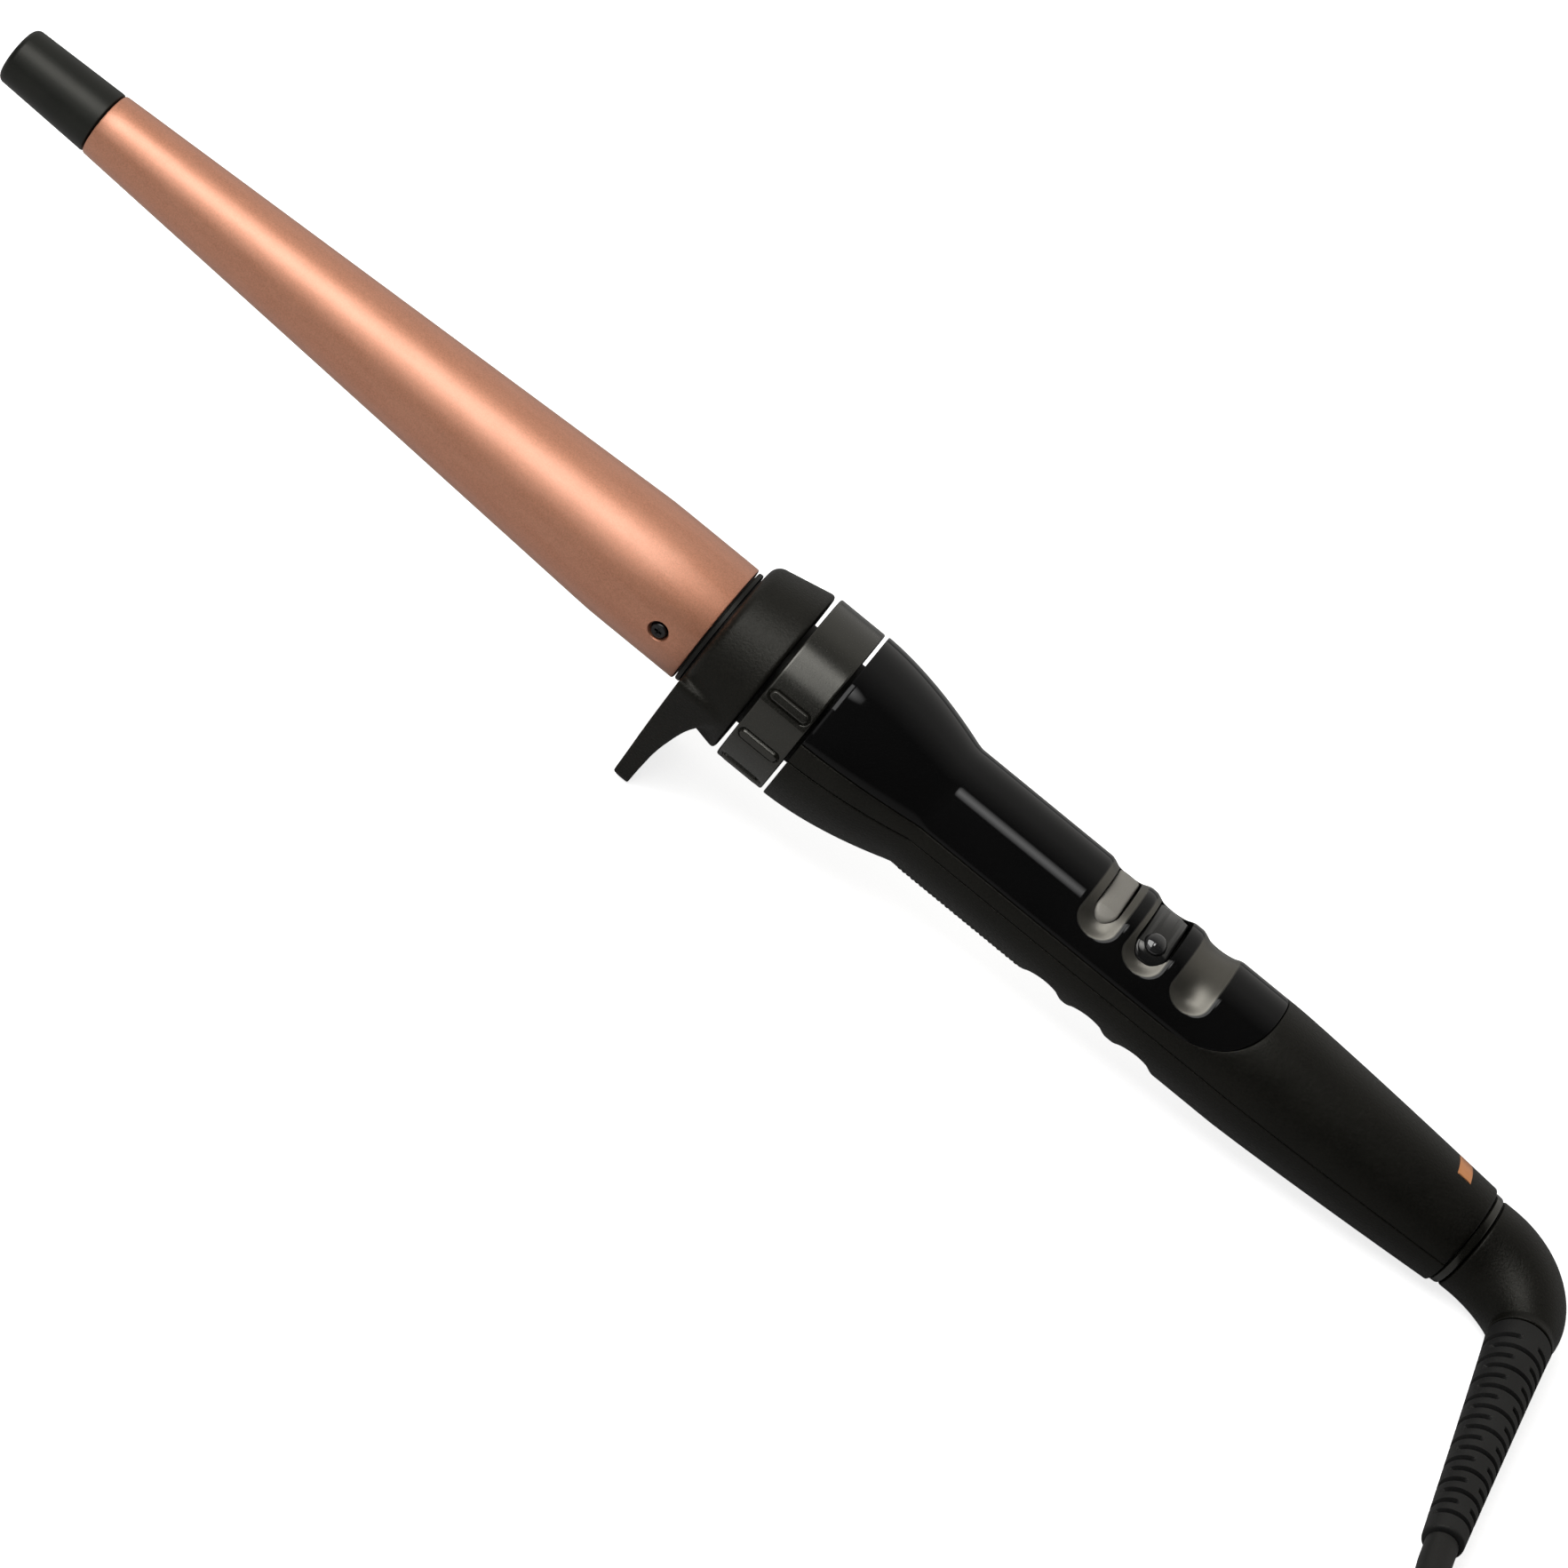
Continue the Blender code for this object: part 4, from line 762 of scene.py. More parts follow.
def plug_bend_path():
    """The last bend: the cord leaves the outer turn, climbs and crosses the coil's top."""
    leave = PLUG_HEADING - 90.0 - PLUG_BEND
    centre = coil_point(leave, COIL_RADII[1] - PLUG_BEND_RADIUS, 0.0)
    path = []
    for i in range(1, 26):
        angle = PLUG_BEND * i / 25
        turn = math.radians(leave + angle)
        height = COIL_LAYERS[1] + (CORD_LYING_HEIGHT - COIL_LAYERS[1]) * ease(angle / 50.0)
        height += (PLUG_AXIS_HEIGHT - CORD_LYING_HEIGHT) * ease((angle - 50.0) / 95.0)
        sideways = PLUG_BEND_RADIUS * Vector((math.cos(turn), math.sin(turn), 0.0))
        path.append(centre + sideways + Vector((0.0, 0.0, height)))
    return path


def ease(share):
    """A share from 0 to 1 that starts and stops gently."""
    share = min(1.0, max(0.0, share))
    return share * share * (3.0 - 2.0 * share)


def relaxed(path, rounds):
    """The path with its inner points moved towards the middle of their neighbours."""
    for _ in range(rounds):
        middle = [0.25 * a + 0.5 * b + 0.25 * c for a, b, c in zip(path, path[1:], path[2:])]
        path = [path[0]] + middle + [path[-1]]
    return path


def cord_and_plug():
    """The mains lead on its whole route, with its plug."""
    coil = coil_path()
    route = smooth_path(list(CORD_ROUTE) + [coil[0]], 4.0)[:-1]
    path = relaxed(route + coil + plug_bend_path(), 4)
    cord = tube("mains_cord", path, CORD_RADIUS, "cord_skin", frame=WORLD, sharp=60.0)
    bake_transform(cord)
    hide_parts("power_cord", "cord_coil", "plug_cord")
    frame = Matrix.Translation(path[-1] * MM) @ Matrix.Rotation(math.radians(PLUG_HEADING), 4, "Z")
    pieces = [plug_body(frame)] + plug_pins(frame)


def plug_body(frame):
    """Flat two-pin plug: a ribbed tail, a waisted body and a rounded face; +X is towards the pins."""
    sections = [(0.0, 0.0, 0.0), (0.0, 3.6, 3.6), (0.3, 3.9, 3.9)]
    for i in range(4):
        x = 1.2 + i * 2.2
        radius = 4.05 + 0.3 * i
        sections += [(x, radius, radius), (x + 0.2, radius - 0.45, radius - 0.45),
                     (x + 0.8, radius - 0.45, radius - 0.45), (x + 1.0, radius, radius)]
    rear = PLUG_TAIL
    front = PLUG_TAIL + PLUG_BODY
    sections += [(rear - 0.6, 5.2, 5.2), (rear, 6.0, 5.5), (rear + 3.0, 7.9, 6.2), (rear + 8.0, 10.6, 6.8),
                 (rear + 15.0, 12.4, 7.0), (rear + 23.0, 13.0, 7.0), (front - 1.2, 13.0, 6.9),
                 (front - 0.4, 12.7, 6.6), (front, 12.0, 6.0), (front, 9.0, 4.4), (front, 0.0, 0.0)]
    sides = 72
    points, rings = [], []
    for x, half_width, half_height in sections:
        rings.append((len(points), half_width == 0.0))
        if half_width == 0.0:
            points.append((x, 0.0, 0.0))
            continue
        power = 2.0 + 2.2 * min(1.0, max(0.0, (half_width - half_height) / 5.0))
        for j in range(sides):
            turn = 2.0 * math.pi * j / sides
            c, s = math.cos(turn), math.sin(turn)
            points.append((x, half_width * math.copysign(abs(c) ** (2.0 / power), c),
                           half_height * math.copysign(abs(s) ** (2.0 / power), s)))
    faces = []
    for (a, a_point), (b, b_point) in zip(rings, rings[1:]):
        for j in range(sides):
            k = (j + 1) % sides
            low = (a,) if a_point else (a + j, a + k)
            high = (b,) if b_point else (b + k, b + j)
            faces.append(low + high)
    return piece("plug_body", points, faces, "plug_black", body="handle", node="mains_plug",
                 slot="black_satin", frame=frame)


def plug_pins(frame):
    """Two round pins with domed ends."""
    made = []
    start = PLUG_TAIL + PLUG_BODY
    for label, side in (("near", -1), ("far", 1)):
        nose = arc((PIN_LENGTH - PIN_RADIUS, 0.0), PIN_RADIUS, 90.0, 0.0, 8)
        profile = [(0.3, 0.0), (0.3, PIN_RADIUS)] + nose[:-1] + [(PIN_LENGTH, 0.0)]
        place = frame @ Matrix.Translation((start * MM, side * PIN_SPACING / 2 * MM, 0.0))
        made.append(revolved(f"plug_pin_{label}_metal", profile, "brass", sides=32, body="handle",
                             node=f"plug_pin_{label}", slot="brass", frame=place))
    return made


# ---------------------------------------------------------------- barrel

def barrel_radius(x):
    """Outside of the barrel: a taper from the cool tip, then a cylinder."""
    share = min(1.0, max(0.0, (x - TIP_END) / (TAPER_END - TIP_END)))
    return BARREL_FRONT_RADIUS + (BARREL_RADIUS - BARREL_FRONT_RADIUS) * share


def cool_tip():
    """Cap with a rounded nose, and the plug that holds it in the barrel."""
    nose = arc((1.3, TIP_RADIUS - 1.25), 1.3, 178.0, 92.0, 10)
    profile = [(0.0, 0.0), (0.0, 3.4)] + nose
    slope = (TIP_JOINT_RADIUS - TIP_RADIUS) / TIP_END
    profile += [(x, TIP_RADIUS + slope * x) for x in (4.0, 9.0, 14.0, 19.6)]
    profile += [(19.85, TIP_JOINT_RADIUS - 0.08), (TIP_END, TIP_JOINT_RADIUS - 0.3), (TIP_END, 4.75)]
    profile += [(31.0, 4.75), (32.0, 4.15), (32.0, 0.0)]
    revolved("cool_tip_cap", profile, "cap_satin", sides=128, body="handle", node="cool_tip",
             slot="black_satin")


def barrel():
    """Tapered tube with rounded ends and two countersunk screw holes."""
    start = TIP_END + 0.3
    first = barrel_radius(start)
    outside = [(start, first - 0.3), (start + 0.09, first - 0.09), (start + 0.3, first)]
    outside += [(x, barrel_radius(x)) for x in np.linspace(start + 3.0, TAPER_END - 6.0, 24)]
    outside += [(TAPER_END - 3.0, barrel_radius(TAPER_END - 3.0)), (TAPER_END, BARREL_RADIUS - 0.02),
                (TAPER_END + 3.0, BARREL_RADIUS), (BARREL_END - 0.35, BARREL_RADIUS),
                (BARREL_END - 0.1, BARREL_RADIUS - 0.1), (BARREL_END, BARREL_RADIUS - 0.35)]
    bore = BARREL_RADIUS - BARREL_WALL
    inside = [(BARREL_END, bore), (TAPER_END, bore), (start, first - BARREL_WALL)]
    shell = revolved("barrel_tube", outside + inside, "rose_gold", sides=160)
    hole = [(-2.5, 0.0), (-2.5, 1.85), (0.55, 1.85), (1.5, 2.5), (4.0, 2.5), (4.0, 0.0)]
    for side in (-1, 1):
        frame = scaled_frame(radial_frame(BARREL_SCREW_X, 90.0 * side, 11.5))
        boolean(shell, "DIFFERENCE", revolved("hole", hole, "rose_gold", sides=48, frame=frame))
    smooth(shell)
    attach(shell, "handle", "barrel")


def scaled_frame(frame):
    """A millimetre frame in the wand as an object matrix in metres."""
    result = frame.copy()
    result.translation = frame.translation * MM
    return WAND @ result


def cross_screw(name, frame, head_radius, head_height, shank_radius, shank_length, node):
    """A pan-head screw whose +X end is the head, with a cross recess."""
    edge = 0.35 * head_height
    profile = [(-shank_length, 0.0), (-shank_length, shank_radius), (0.0, shank_radius)]
    profile += [(0.0, head_radius - 0.08), (0.08, head_radius)]
    profile += arc((head_height - edge, head_radius - edge), edge, 90.0, 0.0, 6)
    dome = 0.06 * head_radius
    profile += [(head_height + dome * 0.5, head_radius * 0.45), (head_height + dome * 0.5, 0.0)]
    fixing = revolved(name, profile, "black_steel", sides=64, frame=frame)
    slot_half = 0.17 * head_radius
    slot_reach = 0.62 * head_radius
    cutters = []
    for a, b in ((slot_half, slot_reach), (slot_reach, slot_half)):
        top = [(-a, -b), (a, -b), (a, b), (-a, b)]
        low = [(0.55 * u, 0.55 * v) for u, v in top]
        points = [(0.4 * head_height, u, v) for u, v in low]
        points += [(head_height + 0.4, u, v) for u, v in top]
        faces = [(0, 1, 2, 3), (7, 6, 5, 4)]
        faces += [(i, (i + 1) % 4, (i + 1) % 4 + 4, i + 4) for i in range(4)]
        cutters.append(piece("recess", points, faces, "black_steel", frame=frame))
    boolean(fixing, "DIFFERENCE", *cutters)
    smooth(fixing)
    attach(fixing, "handle", node)


def barrel_screws():
    """One screw in each side of the barrel, into its carrier."""
    for label, side in (("near", 90.0), ("far", -90.0)):
        frame = scaled_frame(radial_frame(BARREL_SCREW_X, side, 11.5))
        cross_screw(f"barrel_fixing_{label}", frame, 1.5, 0.95, 0.8, 2.6, f"barrel_screw_{label}")


def neck():
    """The carrier's tube through barrel, collar and dial, with the flange that shows before the collar."""
    profile = [(147.0, 10.05), (148.0, 10.85), (162.9, 10.85), (162.9, 11.95), (163.1, 12.2), (163.75, 12.2),
               (163.9, 12.0), (163.9, 11.2), (191.5, 11.2), (191.5, 12.5), (194.0, 12.5), (194.0, 11.2),
               (199.0, 11.2), (199.0, 8.4), (147.0, 8.4)]
    spine = revolved("neck_spine", profile, "neck_dark", sides=128)
    for side in (-1, 1):
        hole = revolved("hole", [(0.0, 0.0), (0.0, 1.15), (5.0, 1.15), (5.0, 0.0)], "neck_dark", sides=32,
                        frame=scaled_frame(radial_frame(BARREL_SCREW_X, 90.0 * side, 7.9)))
        boolean(spine, "DIFFERENCE", hole)
    smooth(spine)
    attach(spine, "handle", "barrel_carrier")


# ---------------------------------------------------------------- collar and dial

def foot_outline():
    """Side outline of the stand foot, in X and Z, from the front round to the rear."""
    slope = math.tan(math.radians(STAND_TILT))
    x, z = FOOT_FLAT
    corner = arc((COLLAR_START + 1.5, -32.4), 1.1, 180.0, 262.0, 8)
    outline = [(COLLAR_START, -2.0), (COLLAR_START + 0.1, -16.0)] + corner
    outline += [(x + reach, z + reach * slope) for reach in (-FOOT_FLAT_HALF, FOOT_FLAT_HALF)]
    rear = [(168.1, -30.0), (168.3, -26.6), (168.5, -23.6), (168.9, -20.5), (169.5, -17.3),
            (170.2, -14.1), (171.1, -11.2), (173.1, -7.0), (175.6, -3.0)]
    outline += [(p.x, p.y) for p in smooth_path([(a, b, 0.0) for a, b in rear], 1.0)]
    return outline + [(175.6, -2.0)]


def collar_and_foot():
    """Collar ring in one moulding with the stand foot that hangs from it."""
    front = arc((COLLAR_START + 2.6, COLLAR_FRONT_RADIUS - 2.5), 2.6, 180.0, 95.0, 12)
    rear = arc((COLLAR_END - 0.8, COLLAR_REAR_RADIUS - 0.8), 0.8, 85.0, 0.0, 6)
    profile = front + rear + [(COLLAR_END, COLLAR_BORE), (COLLAR_START, COLLAR_BORE)]
    collar = revolved("collar_and_foot", profile, "eroded", sides=180)
    foot = extruded("foot", foot_outline(), -20.0, 20.0, SIDE)
    corner = 2.4
    tip = arc((FOOT_TIP_HALF_WIDTH - corner, FOOT_FLAT[1] - 0.2 + corner), corner, -90.0, -16.0, 8)
    near_side = tip + [(FOOT_ROOT_HALF_WIDTH, -3.0), (FOOT_ROOT_HALF_WIDTH - 1.0, -1.0)]
    far_side = [(-y, z) for y, z in reversed(near_side)]
    width = extruded("foot_width", near_side + far_side, 160.0, 180.0, FRONT)
    hole = [(150.0, 0.0), (150.0, COLLAR_BORE), (190.0, COLLAR_BORE), (190.0, 0.0)]
    bore = revolved("bore", hole, "eroded", sides=128)
    boolean(foot, "INTERSECT", width)
    boolean(collar, "UNION", foot)
    boolean(collar, "DIFFERENCE", bore)
    soften(collar, 0.30, 5)
    blend_foot(collar)
    attach(collar, "handle", "collar_stand")


def blend_foot(collar):
    """Let the sides of the foot flow into the collar: many smoothing rounds around the joint."""
    points = np.array([v.co for v in collar.data.vertices]) / MM
    radius = np.hypot(points[:, 1], points[:, 2])
    weight = np.clip((points[:, 2] + 27.0) / 7.0, 0.0, 1.0)
    weight *= np.clip((2.0 - points[:, 2]) / 4.0, 0.0, 1.0)
    weight *= np.clip((radius - 14.0) / 1.5, 0.0, 1.0)
    weight *= np.clip((points[:, 0] - COLLAR_START - 0.4) / 1.5, 0.0, 1.0)
    weight *= np.clip((COLLAR_END - 0.4 - points[:, 0]) / 1.5, 0.0, 1.0)
    group = collar.vertex_groups.new(name="joint")
    for i, value in enumerate(weight):
        if value > 0.0:
            group.add([i], float(value), "REPLACE")
    relax = collar.modifiers.new("relax", "SMOOTH")
    relax.factor = 0.5
    relax.iterations = 45
    relax.vertex_group = "joint"
    apply_modifiers(collar)
    smooth(collar, 80.0)


def soften(obj, voxel_mm, rounds):
    """Round every edge slightly: an even remesh, then a few smoothing rounds."""
    remesh = obj.modifiers.new("remesh", "REMESH")
    remesh.mode = "VOXEL"
    remesh.voxel_size = voxel_mm * MM
    remesh.use_smooth_shade = True
    relax = obj.modifiers.new("relax", "SMOOTH")
    relax.factor = 0.5
    relax.iterations = rounds
    apply_modifiers(obj)
    smooth(obj, 80.0)


def pill_distance(along, across, half_length, half_width):
    """Signed distance to a pill outline, negative inside."""
    reach = half_length - half_width
    return np.hypot(np.clip(np.abs(along) - reach, 0.0, None), across) - half_width


def dial_ring():
    """Ring with raised ribs, each in a shallow recess."""
    middle = (DIAL_START + DIAL_END) * 0.5
    ribs = [side * rib for side in (-1, 1) for rib in RIB_ANGLES]
    fine = np.concatenate([rib + np.linspace(-7.0, 7.0, 57) for rib in ribs])
    coarse = np.concatenate([np.linspace(-54.0, 54.0, 73), np.linspace(136.0, 224.0, 59)])
    angles = np.sort(np.concatenate([np.mod(fine, 360.0), np.mod(coarse, 360.0)]))
    angles = angles[np.concatenate([[True], np.diff(angles) > 0.05])]
    edge = [(DIAL_START + a, DIAL_RADIUS - d) for a, d in fillet_steps(0.4)]
    flat = [(x, DIAL_RADIUS) for x in np.linspace(DIAL_START + 0.6, DIAL_END - 0.6, 76)]
    back = [(DIAL_END - a, DIAL_RADIUS - d) for a, d in fillet_steps(0.4)][::-1]
    hollow = DIAL_RADIUS - DIAL_WALL
    outside = edge + flat + back
    inside = [(DIAL_END, hollow), (DIAL_START + DIAL_WEB, hollow), (DIAL_START + DIAL_WEB, DIAL_BORE),
              (DIAL_START, DIAL_BORE)]
    points = []
    for i, (x, radius) in enumerate(outside + inside):
        radii = np.full(len(angles), radius)
        if i < len(outside):
            for rib in ribs:
                across = np.radians((angles - rib + 180.0) % 360.0 - 180.0) * DIAL_RADIUS
                distance = pill_distance(x - middle, across, RIB_HALF_LENGTH, RIB_HALF_WIDTH)
                raised = RIB_RISE * np.clip(-distance / 0.35, 0.0, 1.0) ** 0.6
                sunk = RIB_RECESS * np.clip(1.0 - np.abs(distance - 0.18) / 0.22, 0.0, 1.0)
                radii = radii + raised - sunk
        points.append(around(x, angles, radii))
    points = np.array(points)
    rows, columns = points.shape[:2]
    faces = grid_faces(rows, columns, wrap=True)
    faces += [((rows - 1) * columns + j, (rows - 1) * columns + (j + 1) % columns, (j + 1) % columns, j)
              for j in range(columns)]
    piece("dial_ring", points.reshape(-1, 3), faces, "dial_satin", body="dial", node="temperature_dial",
          slot="black_satin", sharp=50.0)


# ---------------------------------------------------------------- handle

def panel_end(angle):
    """Rear edge of the top panel at an angle."""
    share = np.clip(np.abs(angle) / PANEL_HALF_ANGLE, 0.0, 1.0)
    return PANEL_BEND_START + PANEL_BEND_REACH * np.sqrt(1.0 - share ** 3)


def edged(positions, start, end):
    """Positions and depths along one direction: rounded edges at both ends."""
    steps = fillet_steps()
    first = [(start + offset, depth) for offset, depth in steps]
    last = [(end - offset, depth) for offset, depth in steps][::-1]
    inner = [(p, 0.0) for p in positions if start + 1.3 * FILLET < p < end - 1.3 * FILLET]
    rows = np.array(first + inner + last)
    return rows[:, 0], rows[:, 1]


def cut_button_slots(shell):
    cutters = []
    for button in (TEMPERATURE_BUTTON, POWER_BUTTON):
        cutters.append(extruded("slot", button_outline(button, BUTTON_GAP), 3.0, 30.0, PLAN))
    boolean(shell, "DIFFERENCE", *cutters)
    smooth(shell, 42.0)


def top_panel():
    """Glossy inlay with three satin thumb grooves, two of them with a button slot."""
    fixed_end = 268.0
    panel_tip = PANEL_BEND_START + PANEL_BEND_REACH
    rows = stations((HANDLE_START, 240.0, 1.3), (240.0, fixed_end, 0.28), (fixed_end, panel_tip, 0.30))
    along, row_depth = edged(rows, HANDLE_START, panel_tip)
    arc_mm = np.radians(PANEL_HALF_ANGLE) * GRIP_RADIUS
    across, column_depth = edged(np.linspace(-arc_mm, arc_mm, 131), -arc_mm, arc_mm)
    angle = np.degrees(across / GRIP_RADIUS)
    full = along[:, None] * np.ones_like(angle)[None, :]
    reach = panel_end(angle)[None, :]
    stretch = (reach - fixed_end) / (panel_tip - fixed_end)
    x = np.where(full > fixed_end, fixed_end + (full - fixed_end) * stretch, full)
    angles = np.broadcast_to(angle[None, :], x.shape)
    plain = handle_radius(x)
    grooved = grooved_radius(x, angles)
    depth = np.maximum(row_depth[:, None], column_depth[None, :])
    outer = around(x, angles, grooved - depth)
    inner = around(x, angles, plain - np.maximum(PANEL_THICKNESS, plain - grooved + 0.8))
    panel = skin("handle_panel", outer, inner, "piano_black")
    count = outer.shape[0] * outer.shape[1]
    values = np.zeros(len(panel.data.vertices), np.float32)
    values[:count] = (plain - grooved).reshape(-1)
    attribute = panel.data.attributes.new("groove", "FLOAT", "POINT")
    attribute.data.foreach_set("value", values)
    cut_button_slots(panel)
    attach(panel, "handle", "top_panel")


def shell_grid(angle, x_rows, depth):
    """Outer points of a shell from column angles, rows of positions and a depth grid."""
    return around(x_rows, np.broadcast_to(angle[None, :], x_rows.shape), handle_radius(x_rows) - depth)


def upper_shell():
    """Side strips and tail around the panel, and the pocket that the panel sits in."""
    steps = fillet_steps()
    half = 90.0 - math.degrees(SEAM * 0.5 / GRIP_RADIUS)
    pocket = PANEL_HALF_ANGLE + math.degrees(SEAM / GRIP_RADIUS)
    per_mm = math.degrees(1.0 / GRIP_RADIUS)
    side_angles = [(pocket - 0.01, POCKET_DEPTH)] + [(pocket + o * per_mm, d) for o, d in steps]
    outer_edge = [(half - o * per_mm, d) for o, d in steps][::-1]
    between = [(a, 0.0) for a in np.linspace(side_angles[-1][0], outer_edge[0][0], 8)[1:-1]]
    right = side_angles + between + outer_edge
    middle = [(a, POCKET_DEPTH) for a in np.linspace(-pocket + 1.5, pocket - 1.5, 61)]
    columns = [(-a, d) for a, d in reversed(right)] + middle + right
    angle = np.array([a for a, _ in columns])
    edge_depth = np.array([d for _, d in columns])
    pocket_side = np.where(np.abs(angle) < 82.0, edge_depth, 0.0)
    seam_side = np.where(np.abs(angle) >= 82.0, edge_depth, 0.0)
    rows, row_pocket, row_end = [], [], []
    end = panel_end(angle) + SEAM
    for o, d in steps:
        rows.append(np.full_like(angle, HANDLE_START + o))
        row_pocket.append(POCKET_DEPTH)
        row_end.append(d)
    for i in range(1, 47):
        share = i / 46
        rows.append(HANDLE_START + FILLET + (end - HANDLE_START - FILLET - 0.01) * share)
        row_pocket.append(POCKET_DEPTH)
        row_end.append(0.0)
    for o, d in steps:
        rows.append(end + o)
        row_pocket.append(d)
        row_end.append(0.0)
    for i in range(1, 41):
        share = i / 40
        rows.append(end + FILLET + (HANDLE_END - TAIL_FILLET - end - FILLET) * share)
        row_pocket.append(0.0)
        row_end.append(0.0)
    for o, d in fillet_steps(TAIL_FILLET)[-2::-1]:
        rows.append(np.full_like(angle, HANDLE_END - o))
        row_pocket.append(0.0)
        row_end.append(d)
    x = np.array(rows)
    row_pocket = np.array(row_pocket)[:, None]
    row_end = np.array(row_end)[:, None]
    depth = np.minimum(row_pocket, pocket_side[None, :])
    depth = np.maximum(depth, np.maximum(seam_side[None, :], row_end))
    outer = shell_grid(angle, x, depth)
    wall = np.where(x < 300.0, POCKET_DEPTH + 1.6, 2.4)
    angles = np.broadcast_to(angle[None, :], x.shape)
    inner = around(x, angles, np.maximum(handle_radius(x) - wall, TAIL_BORE))
    shell = skin("handle_top_shell", outer, inner, "eroded")
    cut_button_slots(shell)
    attach(shell, "handle", "handle_upper_shell")


def grip_texture(x, angle):
    """Small staggered bumps under the front of the grip."""
    start, end = GRIP_TEXTURE["span"]
    across = np.radians(angle) * GRIP_RADIUS
    inside = np.clip(np.minimum(x - start, end - x), 0.0, 1.0)
    inside = inside * np.clip((GRIP_TEXTURE["half_angle"] - np.abs(angle)) / 3.0, 0.0, 1.0)
    wave = math.pi / GRIP_TEXTURE["pitch"]
    return GRIP_TEXTURE["rise"] * inside * np.clip(np.cos(wave * x) * np.cos(wave * across), 0.0, 1.0)


def lower_shell():
    """Underside of the handle with three finger grooves and two screw wells."""
    half = 90.0 - math.degrees(SEAM * 0.5 / GRIP_RADIUS)
    arc_mm = np.radians(half) * GRIP_RADIUS
    rows = stations((HANDLE_START, 214.0, 1.3), (214.0, 278.0, 0.32), (278.0, HANDLE_END, 1.3))
    along, row_depth = edged(rows, HANDLE_START, HANDLE_END)
    across, column_depth = edged(np.linspace(-arc_mm, arc_mm, 121), -arc_mm, arc_mm)
    angle = np.degrees(across / GRIP_RADIUS)
    x = np.broadcast_to(along[:, None], (len(along), len(angle)))
    below = np.broadcast_to(angle[None, :], x.shape)
    depth = np.maximum(row_depth[:, None], column_depth[None, :])
    outer_radius = grooved_radius(x, below) + grip_texture(x, below)
    outer = around(x, below + 180.0, outer_radius - depth)
    inner = around(x, below + 180.0, np.maximum(handle_radius(x) - GRIP_WALL, TAIL_BORE))
    shell = skin("handle_bottom_shell", outer, inner, "eroded")
    cutters = []
    for screw_x in HANDLE_SCREWS.values():
        top = float(handle_radius(screw_x)) - 1.55
        frame = scaled_frame(radial_frame(screw_x, 180.0, 0.0))
        profile = [(6.0, 0.0), (6.0, 1.6), (top, 1.6), (top, 2.9), (20.0, 2.9), (20.0, 0.0)]
        cutters.append(revolved("well", profile, "eroded", sides=48, frame=frame))
    boolean(shell, "DIFFERENCE", *cutters)
    smooth(shell, 42.0)
    attach(shell, "handle", "handle_lower_shell")


def handle_screws():
    """The two screws that hold the lower shell to the upper one."""
    for label, x in HANDLE_SCREWS.items():
        seat = float(handle_radius(x)) - 1.25
        frame = scaled_frame(radial_frame(x, 180.0, seat))
        cross_screw(f"handle_fixing_{label}", frame, 2.5, 1.0, 1.15, 9.5, f"handle_screw_{label}")


def button_cap(name, button, material, body, node, slot):
    """Cap with rounded corners and edges and a crowned top that follows the handle's curve."""
    width, half_length, top = button["width"], button["half_length"], button["top"]
    bottom = 6.4
    corner = button["corner"]
    insets = [(0.0, None)] + [(o, d) for o, d in fillet_steps(0.45)]
    insets += [(corner * share, 0.0) for share in (0.32, 0.45, 0.6, 0.75, 0.9, 0.97)]
    points = []
    for inset, depth in insets:
        outline = rounded_bar(button["x"], width - 2 * inset, half_length - inset, corner - inset, 10)
        count = len(outline)
        for x, y in outline:
            height = math.sqrt(top * top - y * y)
            crown = -0.10 * (2.0 * (x - button["x"]) / width) ** 2
            points.append((x, y, bottom if depth is None else height + crown - depth))
    rows = len(insets)
    faces = grid_faces(rows, count, wrap=True)
    faces += [tuple(range(count)), tuple(range(rows * count - 1, (rows - 1) * count - 1, -1))]
    return piece(name, points, faces, material, body=body, node=node, slot=slot)


def buttons():
    """The plain grey key, and the black key with its light."""
    button_cap("temperature_key_cap", TEMPERATURE_BUTTON, "grey_button", "temperature_key",
               "temperature_button", "grey_satin")
    cap = button_cap("power_key_cap", POWER_BUTTON, "black_button", None, None, None)
    frame = radial_frame(POWER_BUTTON["x"], LENS_ANGLE, POWER_BUTTON["top"] - 1.0)
    pocket_radius = LENS_RADIUS + 0.15
    pocket = revolved("pocket", [(-0.2, 0.0), (-0.2, pocket_radius), (4.0, pocket_radius), (4.0, 0.0)],
                      "black_button", sides=48, frame=scaled_frame(frame))
    boolean(cap, "DIFFERENCE", pocket)
    smooth(cap)
    attach(cap, "power_key", "power_button")
    turns = np.radians(np.linspace(0.0, 82.0, 12))
    dome = [(0.9 + 0.9 * math.sin(t), LENS_RADIUS * math.cos(t)) for t in turns]
    revolved("power_lens", [(0.0, 0.0), (0.0, LENS_RADIUS)] + dome + [(1.8, 0.0)], "smoked_lens", sides=48,
             frame=scaled_frame(frame), body="power_key", node="power_light_lens", slot="smoked_lens")


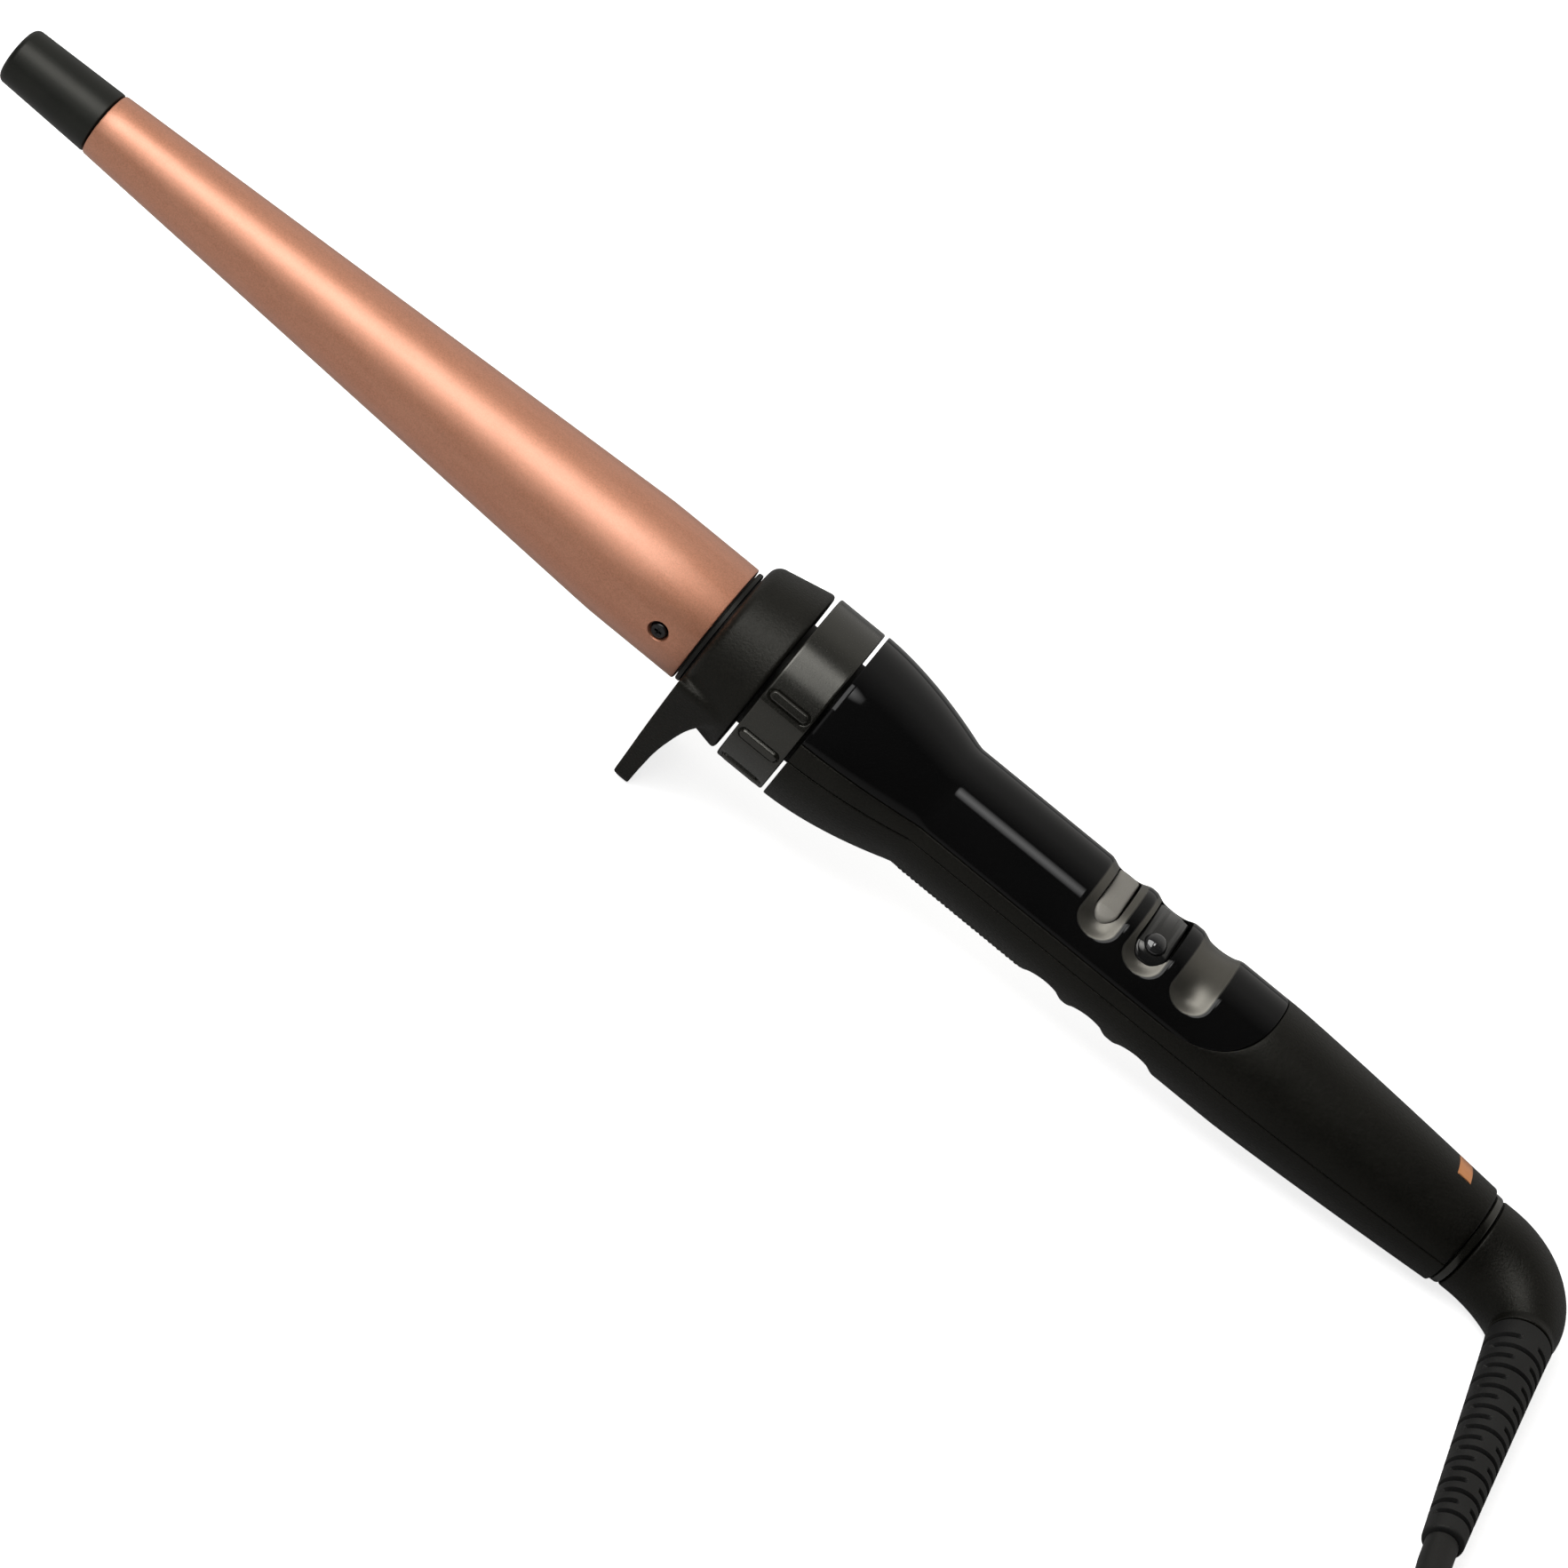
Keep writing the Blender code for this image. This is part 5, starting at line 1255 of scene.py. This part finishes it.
def copper_bar():
    """Slanted copper accent bar on the tail."""
    rows = np.linspace(0.0, 1.0, 12)
    columns = np.linspace(*COPPER_BAR_ANGLES, 41)
    x = COPPER_BAR_X + COPPER_BAR_WIDTH * rows[:, None] + COPPER_BAR_SLANT * (columns[None, :] - 12.0)
    angle = np.broadcast_to(columns[None, :], x.shape)
    rise = np.full(x.shape, 0.10)
    rise[[0, -1], :] = 0.0
    rise[:, [0, -1]] = 0.0
    outer = around(x, angle, handle_radius(x) + rise)
    inner = around(x, angle, handle_radius(x) - 0.25)
    skin("copper_accent", outer, inner, "copper", body="handle", slot="barrel_coating")


# ---------------------------------------------------------------- swivel outlet

def elbow_place(distance):
    """Centre and section directions at a distance along the bent outlet."""
    bend = math.radians(ELBOW_BEND)
    start = OUTLET_START + ELBOW_STRAIGHT
    past = distance - ELBOW_STRAIGHT
    turn = min(bend, max(0.0, past / ELBOW_BEND_RADIUS))
    x = start + ELBOW_BEND_RADIUS * math.sin(turn)
    y = -ELBOW_BEND_RADIUS * (1.0 - math.cos(turn))
    rest = past - bend * ELBOW_BEND_RADIUS if past > 0 else 0.0
    if past <= 0.0:
        x += past
    elif rest > 0.0:
        x += rest * math.cos(turn)
        y -= rest * math.sin(turn)
    right = (-math.sin(turn), -math.cos(turn), 0.0)
    return (x, y, 0.0), right, (0.0, 0.0, 1.0)


def elbow_radius(distance):
    """Outside of the elbow, thinner towards the sleeve."""
    share = min(1.0, max(0.0, (distance - ELBOW_STRAIGHT) / BEND_LENGTH))
    return ELBOW_RADIUS - (ELBOW_RADIUS - OUTLET_RADIUS) * share ** 2.2


def swivel_elbow():
    """Bent outlet with the stem that turns inside the handle's bush."""
    first = [(o, ELBOW_RADIUS - d) for o, d in fillet_steps(0.4)]
    body = [(s, elbow_radius(s)) for s in np.linspace(0.8, RIM_POSITION - 0.4, 56)]
    last = [(RIM_POSITION - o, OUTLET_RADIUS - d) for o, d in fillet_steps(0.3)][::-1]
    bore = [(s, 3.8) for s in np.linspace(RIM_POSITION, 0.0, 30)]
    stem = [(-18.6, 3.8), (-18.6, 6.9), (-16.2, 6.9), (-16.2, 5.0), (0.0, 5.0)]
    revolved("outlet_elbow", first + body + last + bore + stem, "eroded", sides=96, place=elbow_place,
             closed=True, body="swivel", node="swivel_elbow", slot="black_matte", sharp=45.0)


def sleeve_radius(distance):
    """Outside of the strain relief, tapered to the cord."""
    share = min(1.0, max(0.0, distance / SLEEVE_LENGTH))
    return SLEEVE_START_RADIUS - (SLEEVE_START_RADIUS - SLEEVE_END_RADIUS) * share ** 0.9


def sleeve_shape(position, angles, radii):
    """Cut the ring grooves into the sleeve: half rings, turned a quarter each time."""
    distance = position - SLEEVE_ORIGIN
    first, last = 3.0, SLEEVE_LENGTH - 3.5
    if distance < first or distance > last:
        return radii
    index = math.floor((distance - first) / SLEEVE_PITCH)
    within = (distance - first) - index * SLEEVE_PITCH
    half = 0.55
    along = np.clip((half - abs(within - SLEEVE_PITCH * 0.5)) / 0.18, 0.0, 1.0)
    turn = (angles + 90.0 * (index % 2)) % 180.0 - 90.0
    window = np.clip((72.0 - np.abs(turn)) / 6.0, 0.0, 1.0)
    return radii - 1.15 * along * window


def sleeve():
    """Ribbed strain relief on the elbow's end."""
    plug = [(SLEEVE_ORIGIN - 5.0, 0.0), (SLEEVE_ORIGIN - 5.0, 3.4), (SLEEVE_ORIGIN, 3.4)]
    edge = [(SLEEVE_ORIGIN + o, SLEEVE_START_RADIUS - d) for o, d in fillet_steps(0.35)]
    body = [(SLEEVE_ORIGIN + s, sleeve_radius(s)) for s in np.arange(0.6, SLEEVE_LENGTH - 0.6, 0.14)]
    end = [(SLEEVE_ORIGIN + SLEEVE_LENGTH - o, SLEEVE_END_RADIUS - d) for o, d in fillet_steps(0.5)][::-1]
    profile = plug + edge + body + end + [(SLEEVE_ORIGIN + SLEEVE_LENGTH, 0.0)]
    revolved("cord_sleeve", profile, "rubber", sides=96, place=elbow_place, shape=sleeve_shape,
             body="swivel", node="strain_relief", slot="black_rubber", sharp=50.0)


def swivel_ring():
    """The swivel's bush, whose rim shows as a thin ring at the handle's end."""
    bore = 5.35
    rim = HANDLE_END + 0.3
    profile = [(322.8, 7.3), (323.3, 7.6), (rim, 7.6), (rim, 9.55), (rim + 0.2, 9.75)]
    profile += [(337.8, 9.68), (338.1, 9.55), (338.25, 9.3), (338.25, bore), (322.8, bore)]
    revolved("swivel_ring", profile, "dial_satin", sides=128, body="handle", node="swivel_bush",
             slot="black_satin")


# ---------------------------------------------------------------- inner pieces keep their CAD shape

INNER_FINISH = {
    "heater_plate": "ceramic", "heat_spreader_upper": "aluminium", "heat_spreader_lower": "aluminium",
    "heater_thrust_spring": "steel", "thermal_fuse": "brass", "temperature_sensor": "ceramic",
    "dial_track": "board_green", "dial_wiper": "brass", "control_board": "board_green",
    "temperature_key_switch": "plug_black", "power_key_switch": "plug_black", "power_triac": "plug_black",
    "smoothing_capacitor": "aluminium", "indicator_lamp": "white_plastic", "spark_filter": "white_plastic",
    "heater_wire_live": "red_wire", "heater_wire_neutral": "blue_wire", "mains_wire_live": "red_wire",
    "mains_wire_neutral": "blue_wire", "contact_pin": "brass", "contact_blade_live": "brass",
    "contact_blade_neutral": "brass", "inner_cord": "cord_skin",
}


def finish_inner_pieces(nodes):
    """Give the CAD nodes that keep their own shape a material."""
    for name, material in INNER_FINISH.items():
        slots = nodes[name].data.materials
        slots.clear()
        slots.append(MATERIALS[material])


# ---------------------------------------------------------------- build

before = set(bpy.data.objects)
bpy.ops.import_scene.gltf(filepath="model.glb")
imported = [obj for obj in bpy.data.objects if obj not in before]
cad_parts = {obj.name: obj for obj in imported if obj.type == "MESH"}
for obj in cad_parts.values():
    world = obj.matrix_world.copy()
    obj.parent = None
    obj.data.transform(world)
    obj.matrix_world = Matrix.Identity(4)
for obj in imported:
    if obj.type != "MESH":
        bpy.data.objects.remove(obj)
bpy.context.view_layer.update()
MATERIALS = make_materials()
set_camera()
set_light()
make_floor()
cord_and_plug()
cool_tip()
barrel()
barrel_screws()
neck()
collar_and_foot()
dial_ring()
top_panel()
upper_shell()
lower_shell()
handle_screws()
buttons()
copper_bar()
swivel_elbow()
sleeve()
swivel_ring()
finish_inner_pieces(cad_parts)
